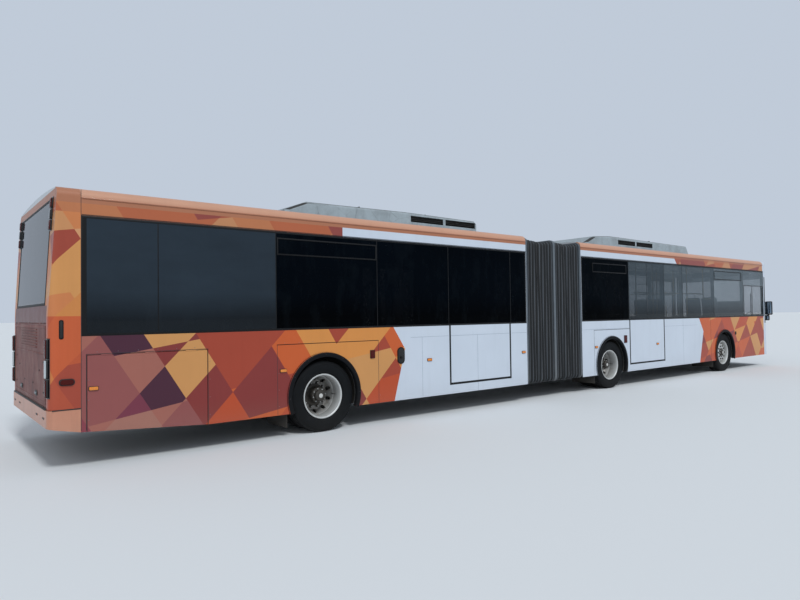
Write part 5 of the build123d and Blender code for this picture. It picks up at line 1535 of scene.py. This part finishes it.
def nose_trim():
    """Seals, blank sign board, wipers, lower lamps and grille bars."""
    trim = Piece("nose_trim", RUBBER, PLASTIC, SIGN_PANEL, AMBER_LENS)
    across = [SEAL_END * (2 * i / SEAL_STEPS - 1) for i in range(SEAL_STEPS + 1)]
    for z in SEAL_HEIGHTS:
        for y0, y1 in zip(across, across[1:]):
            trim.add(rod((nose_face(y0), y0, z), (nose_face(y1), y1, z), 0.006, 8))
    trim.add(crossbar(NOSE - 0.13, NOSE - 0.09, 0.84, 2.585, 2.815, 0.006), 2)
    for side in (1, -1):
        foot = Vector((nose_face(0.45) + 0.012, side * WIPER_FOOT_Y, SCREEN_LOW - 0.045))
        tip = Vector((nose_face(0.75) + 0.018, side * WIPER_Y, SCREEN_LOW + 0.33))
        trim.add(rod(foot - Vector((0.03, 0, 0)), foot + Vector((0.018, 0, 0)), 0.026, 18, soften=0.004), 1)
        trim.add(rod(foot, tip, 0.009, 10, 0.006), 1)
        x, y = nose_face(0.75) + 0.006, side * WIPER_Y
        trim.add(slab((x, y - 0.009, SCREEN_LOW + 0.02), (x + 0.022, y + 0.009, SCREEN_LOW + 0.86), 0.004))
        x = nose_face(0.5)
        lamp = plate(0, (side * NOSE_LAMP_Y, NOSE_LAMP_Z), (0.07, 0.04), (x - 0.004, x + 0.012), 0.016)
        trim.add(lamp, 3)
    for i in range(GRILLE_BARS):
        z = GRILLE_LOW + BAR_SPACING * i
        trim.add(crossbar(nose_face(0.3) - 0.004, nose_face(0) + 0.006, 0.55, z, z + 0.02, 0.006), 1)
    trim.done("front_section")


LAMP_RIM = [(0.052, -0.006), (0.064, -0.006), (0.064, 0.008), (0.060, 0.011), (0.053, 0.008)]
LAMP_DOME = [(0.0, 0.010), (0.025, 0.0085), (0.044, 0.005), (0.0525, 0.0), (0.0525, -0.006), (0.0, -0.006)]


def head_lamp_inners():
    """Two round lamps in the face of each head lamp."""
    lamps = Piece("headlamp_inners", PLASTIC, CLEAR_LENS)
    for side in (1, -1):
        for y in HEAD_LAMPS_Y:
            place = Matrix.Translation((nose_face(y) + 0.001, side * y, NOSE_LAMP_Z))
            place = place @ Matrix.Rotation(-math.pi / 2, 4, "Z")
            lamps.add(moved(lathe(LAMP_RIM, 0, 0, 32), place))
            lamps.add(moved(lathe(LAMP_DOME, 0, 0, 32, closed=False), place), 1)
    lamps.done("front_section")


# Rear face of the mirror heads, and their glasses as (centre across and up, half sizes, corner)
MIRROR_BACK = NOSE + 0.01 - 0.075 / 2
MIRROR_PANES = [((1.295, 1.6175), (0.073, 0.1705), 0.022), ((1.24, 1.342), (0.048, 0.055), 0.018)]


def mirror_kit():
    """Reflecting glass on the rear of each mirror head, with a clamp where the arm meets it."""
    kit = Piece("mirror_glasses", MIRROR_GLASS, PLASTIC)
    ends = (MIRROR_BACK - 0.004, MIRROR_BACK + 0.004)
    for centre, halves, corner in MIRROR_PANES:
        kit.add(plate(0, centre, halves, ends, corner), 0, BOTH)
    kit.add(slab((NOSE - 0.012, 1.262, 1.412), (NOSE + 0.032, 1.298, 1.432), 0.006), 1, BOTH)
    kit.done("front_section")


nose_trim()
head_lamp_inners()
mirror_kit()

# Doors: rubber edges round the panes and a pull bar on each leaf
DOOR_GAP = 0.006
LEAF_LENGTH = (DOOR_LENGTH - 0.012 - 0.010) / 2
BAR_INSET = 0.105
BAR_LOW, BAR_TOP = 0.95, 1.75
BAR_BRACKETS = (0.98, 1.72)
LEAF_OUT, LEAF_IN = HALF - 0.003, HALF - 0.043
BAR_Y = LEAF_IN - 0.05
LEAF_PANES = ((SKIRT + 0.095, 1.15), (1.225, 2.485))
PANE_INSET = 0.069


def dress_leaf(name, x0, x1, bar_x):
    kit = Piece(f"{name}_trim", RUBBER, ALUMINIUM, POLE_PAINT)
    for z0, z1 in LEAF_PANES:
        low = (x0 + PANE_INSET, LEAF_OUT - 0.010, z0 - 0.006)
        high = (x1 - PANE_INSET, LEAF_OUT + 0.0015, z1 + 0.006)
        kit.add(frame_ring(low, high, 0.018, soften=0.002))
    kit.add(rod((bar_x, BAR_Y, BAR_LOW), (bar_x, BAR_Y, BAR_TOP), 0.014, soften=0.003), 2)
    for z in BAR_BRACKETS:
        kit.add(pin(bar_x, z, BAR_Y, LEAF_IN + 0.004, 0.010, 12), 1)
    kit.done(name)


for name, distance in DOORS.items():
    x0 = at(distance) + DOOR_GAP
    x1 = at(distance) + DOOR_LENGTH - DOOR_GAP
    aft_end, fore_start = x0 + LEAF_LENGTH, x1 - LEAF_LENGTH
    dress_leaf(f"{name}_door_aft_leaf", x0, aft_end, aft_end - BAR_INSET)
    dress_leaf(f"{name}_door_fore_leaf", fore_start, x1, fore_start + BAR_INSET)

# Seats
BENCH_MIDDLE = CABIN_HALF - 0.012 - 0.43
PLACE_OFFSET = 0.215
SEAT_PITCH = 0.78
SEAT_DEPTH = 0.43
SEAT_RISE = 0.43
HOUSE_RISE = 0.13
PAD = 0.07
BACK_HEIGHT = 0.64
BACK_LEAN = math.atan2(0.10, BACK_HEIGHT + PAD)
UPRIGHT = Matrix.Rotation(math.pi / 2, 4, "Y")
# Rear edge of each bench's seats, the floor under it and the seat's rise above that
BENCHES = {
    "front": [
        (at(12.7), FLOOR, SEAT_RISE), (at(12.7 + SEAT_PITCH), FLOOR, SEAT_RISE),
        (MID_AXLE - 0.17, HOUSE_TOP, HOUSE_RISE), (FRONT_AXLE - 0.17, HOUSE_TOP, HOUSE_RISE),
    ],
    "rear": [
        (at(0.42), REAR_DECK, SEAT_RISE), (at(0.42 + SEAT_PITCH), REAR_DECK, SEAT_RISE),
        (at(0.42 + 2 * SEAT_PITCH), REAR_DECK, SEAT_RISE), (REAR_AXLE - 0.17, HOUSE_TOP, HOUSE_RISE),
        (at(4.45), FLOOR, SEAT_RISE),
    ],
}


def pad(width, depth, thick, crown, place):
    """A crowned cushion on its base at a place, with sides drawn in between its corners."""
    bm = bmesh.new()
    bmesh.ops.create_cube(bm, size=1, matrix=Matrix.Translation((0, 0, 0.5)))
    bmesh.ops.subdivide_edges(bm, edges=bm.edges[:], cuts=5, use_grid_fill=True)
    for v in bm.verts:
        u, s, h = 2 * v.co.x, 2 * v.co.y, v.co.z
        swell = (1 - u * u) * (1 - s * s)
        pull = 1 - 0.05 * (1 - abs(2 * h - 1))
        v.co.x = u * depth / 2 * (pull if abs(u) > 0.9 else 1)
        v.co.y = s * width / 2 * (pull if abs(s) > 0.9 else 1)
        v.co.z = h * thick + (crown * swell if h > 0.9 else 0)
    bevel(bm, [e for e in bm.edges if e.is_manifold and e.calc_face_angle(0) > 0.9], thick * 0.28, 3)
    return moved(bm, place)


def seats(section):
    shells = Piece(f"{section}_seat_shells", SHELL_PLASTIC, CHASSIS, POLE_PAINT)
    pads = Piece(f"{section}_seat_pads", SEAT_FABRIC)
    for x, floor, rise in BENCHES[section]:
        top = floor + rise
        base = top - PAD
        for y in (BENCH_MIDDLE - PLACE_OFFSET, BENCH_MIDDLE + PLACE_OFFSET):
            half_depth = (SEAT_DEPTH - 0.015) / 2
            shell = plate(2, (x + 0.01 + half_depth, y), (half_depth, 0.2), (base, base + 0.028), 0.05, 0.008)
            shells.add(shell, 0, BOTH)
            place = Matrix.Translation((x + SEAT_DEPTH / 2 + 0.01, y, base + 0.026))
            pads.add(pad(0.375, SEAT_DEPTH - 0.05, 0.035, 0.008, place), 0, BOTH)
            lean = Matrix.Translation((x + 0.068, y, base + 0.02)) @ Matrix.Rotation(-BACK_LEAN, 4, "Y")
            half_height = (BACK_HEIGHT + 0.04) / 2
            back = plate(0, (0, half_height), (0.2, half_height), (-0.022, 0), 0.06, 0.008)
            shells.add(moved(back, lean), 0, BOTH)
            place = lean @ Matrix.Translation((-0.002, 0, 0.36)) @ UPRIGHT
            pads.add(pad(0.36, 0.50, 0.024, 0.006, place), 0, BOTH)
            shells.add(pin(x - 0.051, top + 0.585, y - 0.15, y + 0.15, 0.011, 10), 2, BOTH)
        low = (x + 0.13, BENCH_MIDDLE - 0.12, floor + 0.001)
        high = (x + 0.21, BENCH_MIDDLE + 0.12, base + 0.001)
        shells.add(slab(low, high, 0.008), 1, BOTH)
    shells.done(f"{section}_section", [f"{section}_seats"])
    pads.done(f"{section}_section", sharp=60)


def driver_pads():
    pads = Piece("driver_seat_pads", SEAT_FABRIC)
    x, y, z = MASK_SEAM - 1.0, 0.47 - CABIN_HALF, FLOOR + 0.42
    pads.add(pad(0.475, 0.46, 0.105, 0.015, Matrix.Translation((x + 0.235, y, z - 0.012))))
    lean = Matrix.Translation((x - 0.006, y, z + 0.06)) @ Matrix.Rotation(-math.atan2(0.1, 0.76), 4, "Y")
    pads.add(pad(0.455, 0.72, 0.115, 0.012, lean @ Matrix.Translation((-0.012, 0, 0.36)) @ UPRIGHT))
    pads.done("front_section", sharp=60)


seats("front")
seats("rear")
driver_pads()

# Saloon: light strips, and the feet, heads and bell pushes of the grab poles
POLE_FOOT = [(0.0165, 0.0), (0.036, 0.0), (0.036, 0.006), (0.028, 0.014), (0.020, 0.022), (0.0165, 0.022)]
POLE_HEAD = [(0.0165, 0.0), (0.030, 0.0), (0.030, -0.012), (0.0165, -0.018)]
POLE_Y, POLE_HEAD_Z = 0.42, 2.7235
BELL_HEIGHT = 1.085
LIGHTS_INNER, LIGHTS_OUTER, LIGHTS_LOW, LIGHTS_TOP = 0.63, 0.81, 2.703, 2.7265
REAR_POLES = [(1.09, REAR_DECK), (1.87, REAR_DECK), (3.008, AXLE_DECK), (4.34, FLOOR), (5.474, FLOOR)]
FRONT_POLES = [(d, FLOOR) for d in (9.91, 10.742, 12.59, 13.37, 15.12, 16.05)]


def saloon(section, x0, x1, poles):
    kit = Piece(f"{section}_saloon_kit", LIGHT_STRIP, PLASTIC, RED_LENS)
    kit.add(slab((x0, LIGHTS_INNER, LIGHTS_LOW), (x1, LIGHTS_OUTER, LIGHTS_TOP), 0.006), 0, BOTH)
    upright = Matrix.Rotation(math.pi / 2, 4, "X")
    for distance, floor in poles:
        x, y, bell = at(distance), POLE_Y, floor + BELL_HEIGHT
        for ring, z in ((POLE_FOOT, floor), (POLE_HEAD, POLE_HEAD_Z)):
            kit.add(moved(lathe(ring, 0, 0, 24), Matrix.Translation((x, y, z)) @ upright), 1, BOTH)
        kit.add(plate(2, (x, y), (0.028, 0.024), (bell - 0.035, bell + 0.035), 0.02), 1, BOTH)
        kit.add(pin(x, bell, y - 0.022, y - 0.029, 0.013, 18, soften=0.002), 2, BOTH)
    kit.done(f"{section}_section")


saloon("rear", TAIL_SEAM + 0.15, REAR_END - 0.13, REAR_POLES)
saloon("front", FRONT_START + 0.13, MASK_SEAM - 0.15, FRONT_POLES)

# Stage: pale floor, soft daylight and the camera of the photograph
SUNS = (("key", 1.55, 12, (0.10, 0.62, -0.78)), ("fill", 0.36, 60, (0.7, 0.5, -0.5)))
SUN_COLOUR = (0.95, 0.98, 1.0)
SKY, SEEN_SKY = (0.77, 0.87, 0.98, 1), (0.55, 0.62, 0.72, 1)
GROUND_RADIUS = 400
GROUND_COLOUR, GROUND_ROUGH = (0.74, 0.75, 0.76, 1), 0.9


def stage():
    bm = bmesh.new()
    bmesh.ops.create_circle(bm, cap_ends=True, segments=96, radius=GROUND_RADIUS)
    ground = link("studio_floor", bm)
    floor_paint, _, shader = new_material("studio_floor")
    constants(shader, base_color=GROUND_COLOUR, roughness=GROUND_ROUGH)
    ground.data.materials.append(floor_paint)

    world = bpy.data.worlds.new("soft_daylight")
    bpy.context.scene.world = world
    world.use_nodes = True
    world.node_tree.nodes.clear()
    w = Wires(world.node_tree)
    path = w.node("LightPath").outputs
    seen = w.either(path["Is Camera Ray"], w.either(path["Is Glossy Ray"], path["Is Transmission Ray"]))
    inputs = {"Color": w.mix(seen, SKY, SEEN_SKY), "Strength": w.scaled(seen, 0.42, 0.54)}
    w.node("OutputWorld", {"Surface": w.node("Background", inputs).outputs[0]})

    for name, power, angle, aim in SUNS:
        lamp = bpy.data.lights.new(name, "SUN")
        lamp.energy = power
        lamp.angle = math.radians(angle)
        lamp.color = SUN_COLOUR
        holder = add_object(name, lamp)
        holder.rotation_mode = "QUATERNION"
        holder.rotation_quaternion = Vector(aim).to_track_quat("-Z", "Y")


PHOTO_WIDTH = 800
FOCAL_PIXELS = 615.0886
SENSOR = 36
CLIP_START, CLIP_END = 0.1, 2000
CAMERA_PLACE = (TAIL - 1.15537, -8.36411, 1.56922)
YAW, PITCH, ROLL = 38.97108, 1.37087, -0.77463


def camera():
    lens_data = bpy.data.cameras.new("photo_camera")
    lens_data.sensor_width = SENSOR
    lens_data.lens = SENSOR * FOCAL_PIXELS / PHOTO_WIDTH
    lens_data.clip_start, lens_data.clip_end = CLIP_START, CLIP_END
    yaw, pitch, roll = (math.radians(v) for v in (YAW, PITCH, ROLL))
    ahead = Vector((math.sin(yaw) * math.cos(pitch), math.cos(yaw) * math.cos(pitch), math.sin(pitch)))
    right = ahead.cross(Vector((0, 0, 1))).normalized()
    up = right.cross(ahead)
    level_right = right * math.cos(roll) + up * math.sin(roll)
    level_up = up * math.cos(roll) - right * math.sin(roll)
    turn = Matrix((level_right, level_up, -ahead)).transposed()
    shot = add_object("photo_camera", lens_data)
    shot.matrix_world = Matrix.Translation(CAMERA_PLACE) @ turn.to_4x4()
    bpy.context.scene.camera = shot


stage()
camera()
bpy.context.scene.view_settings.view_transform = "Standard"
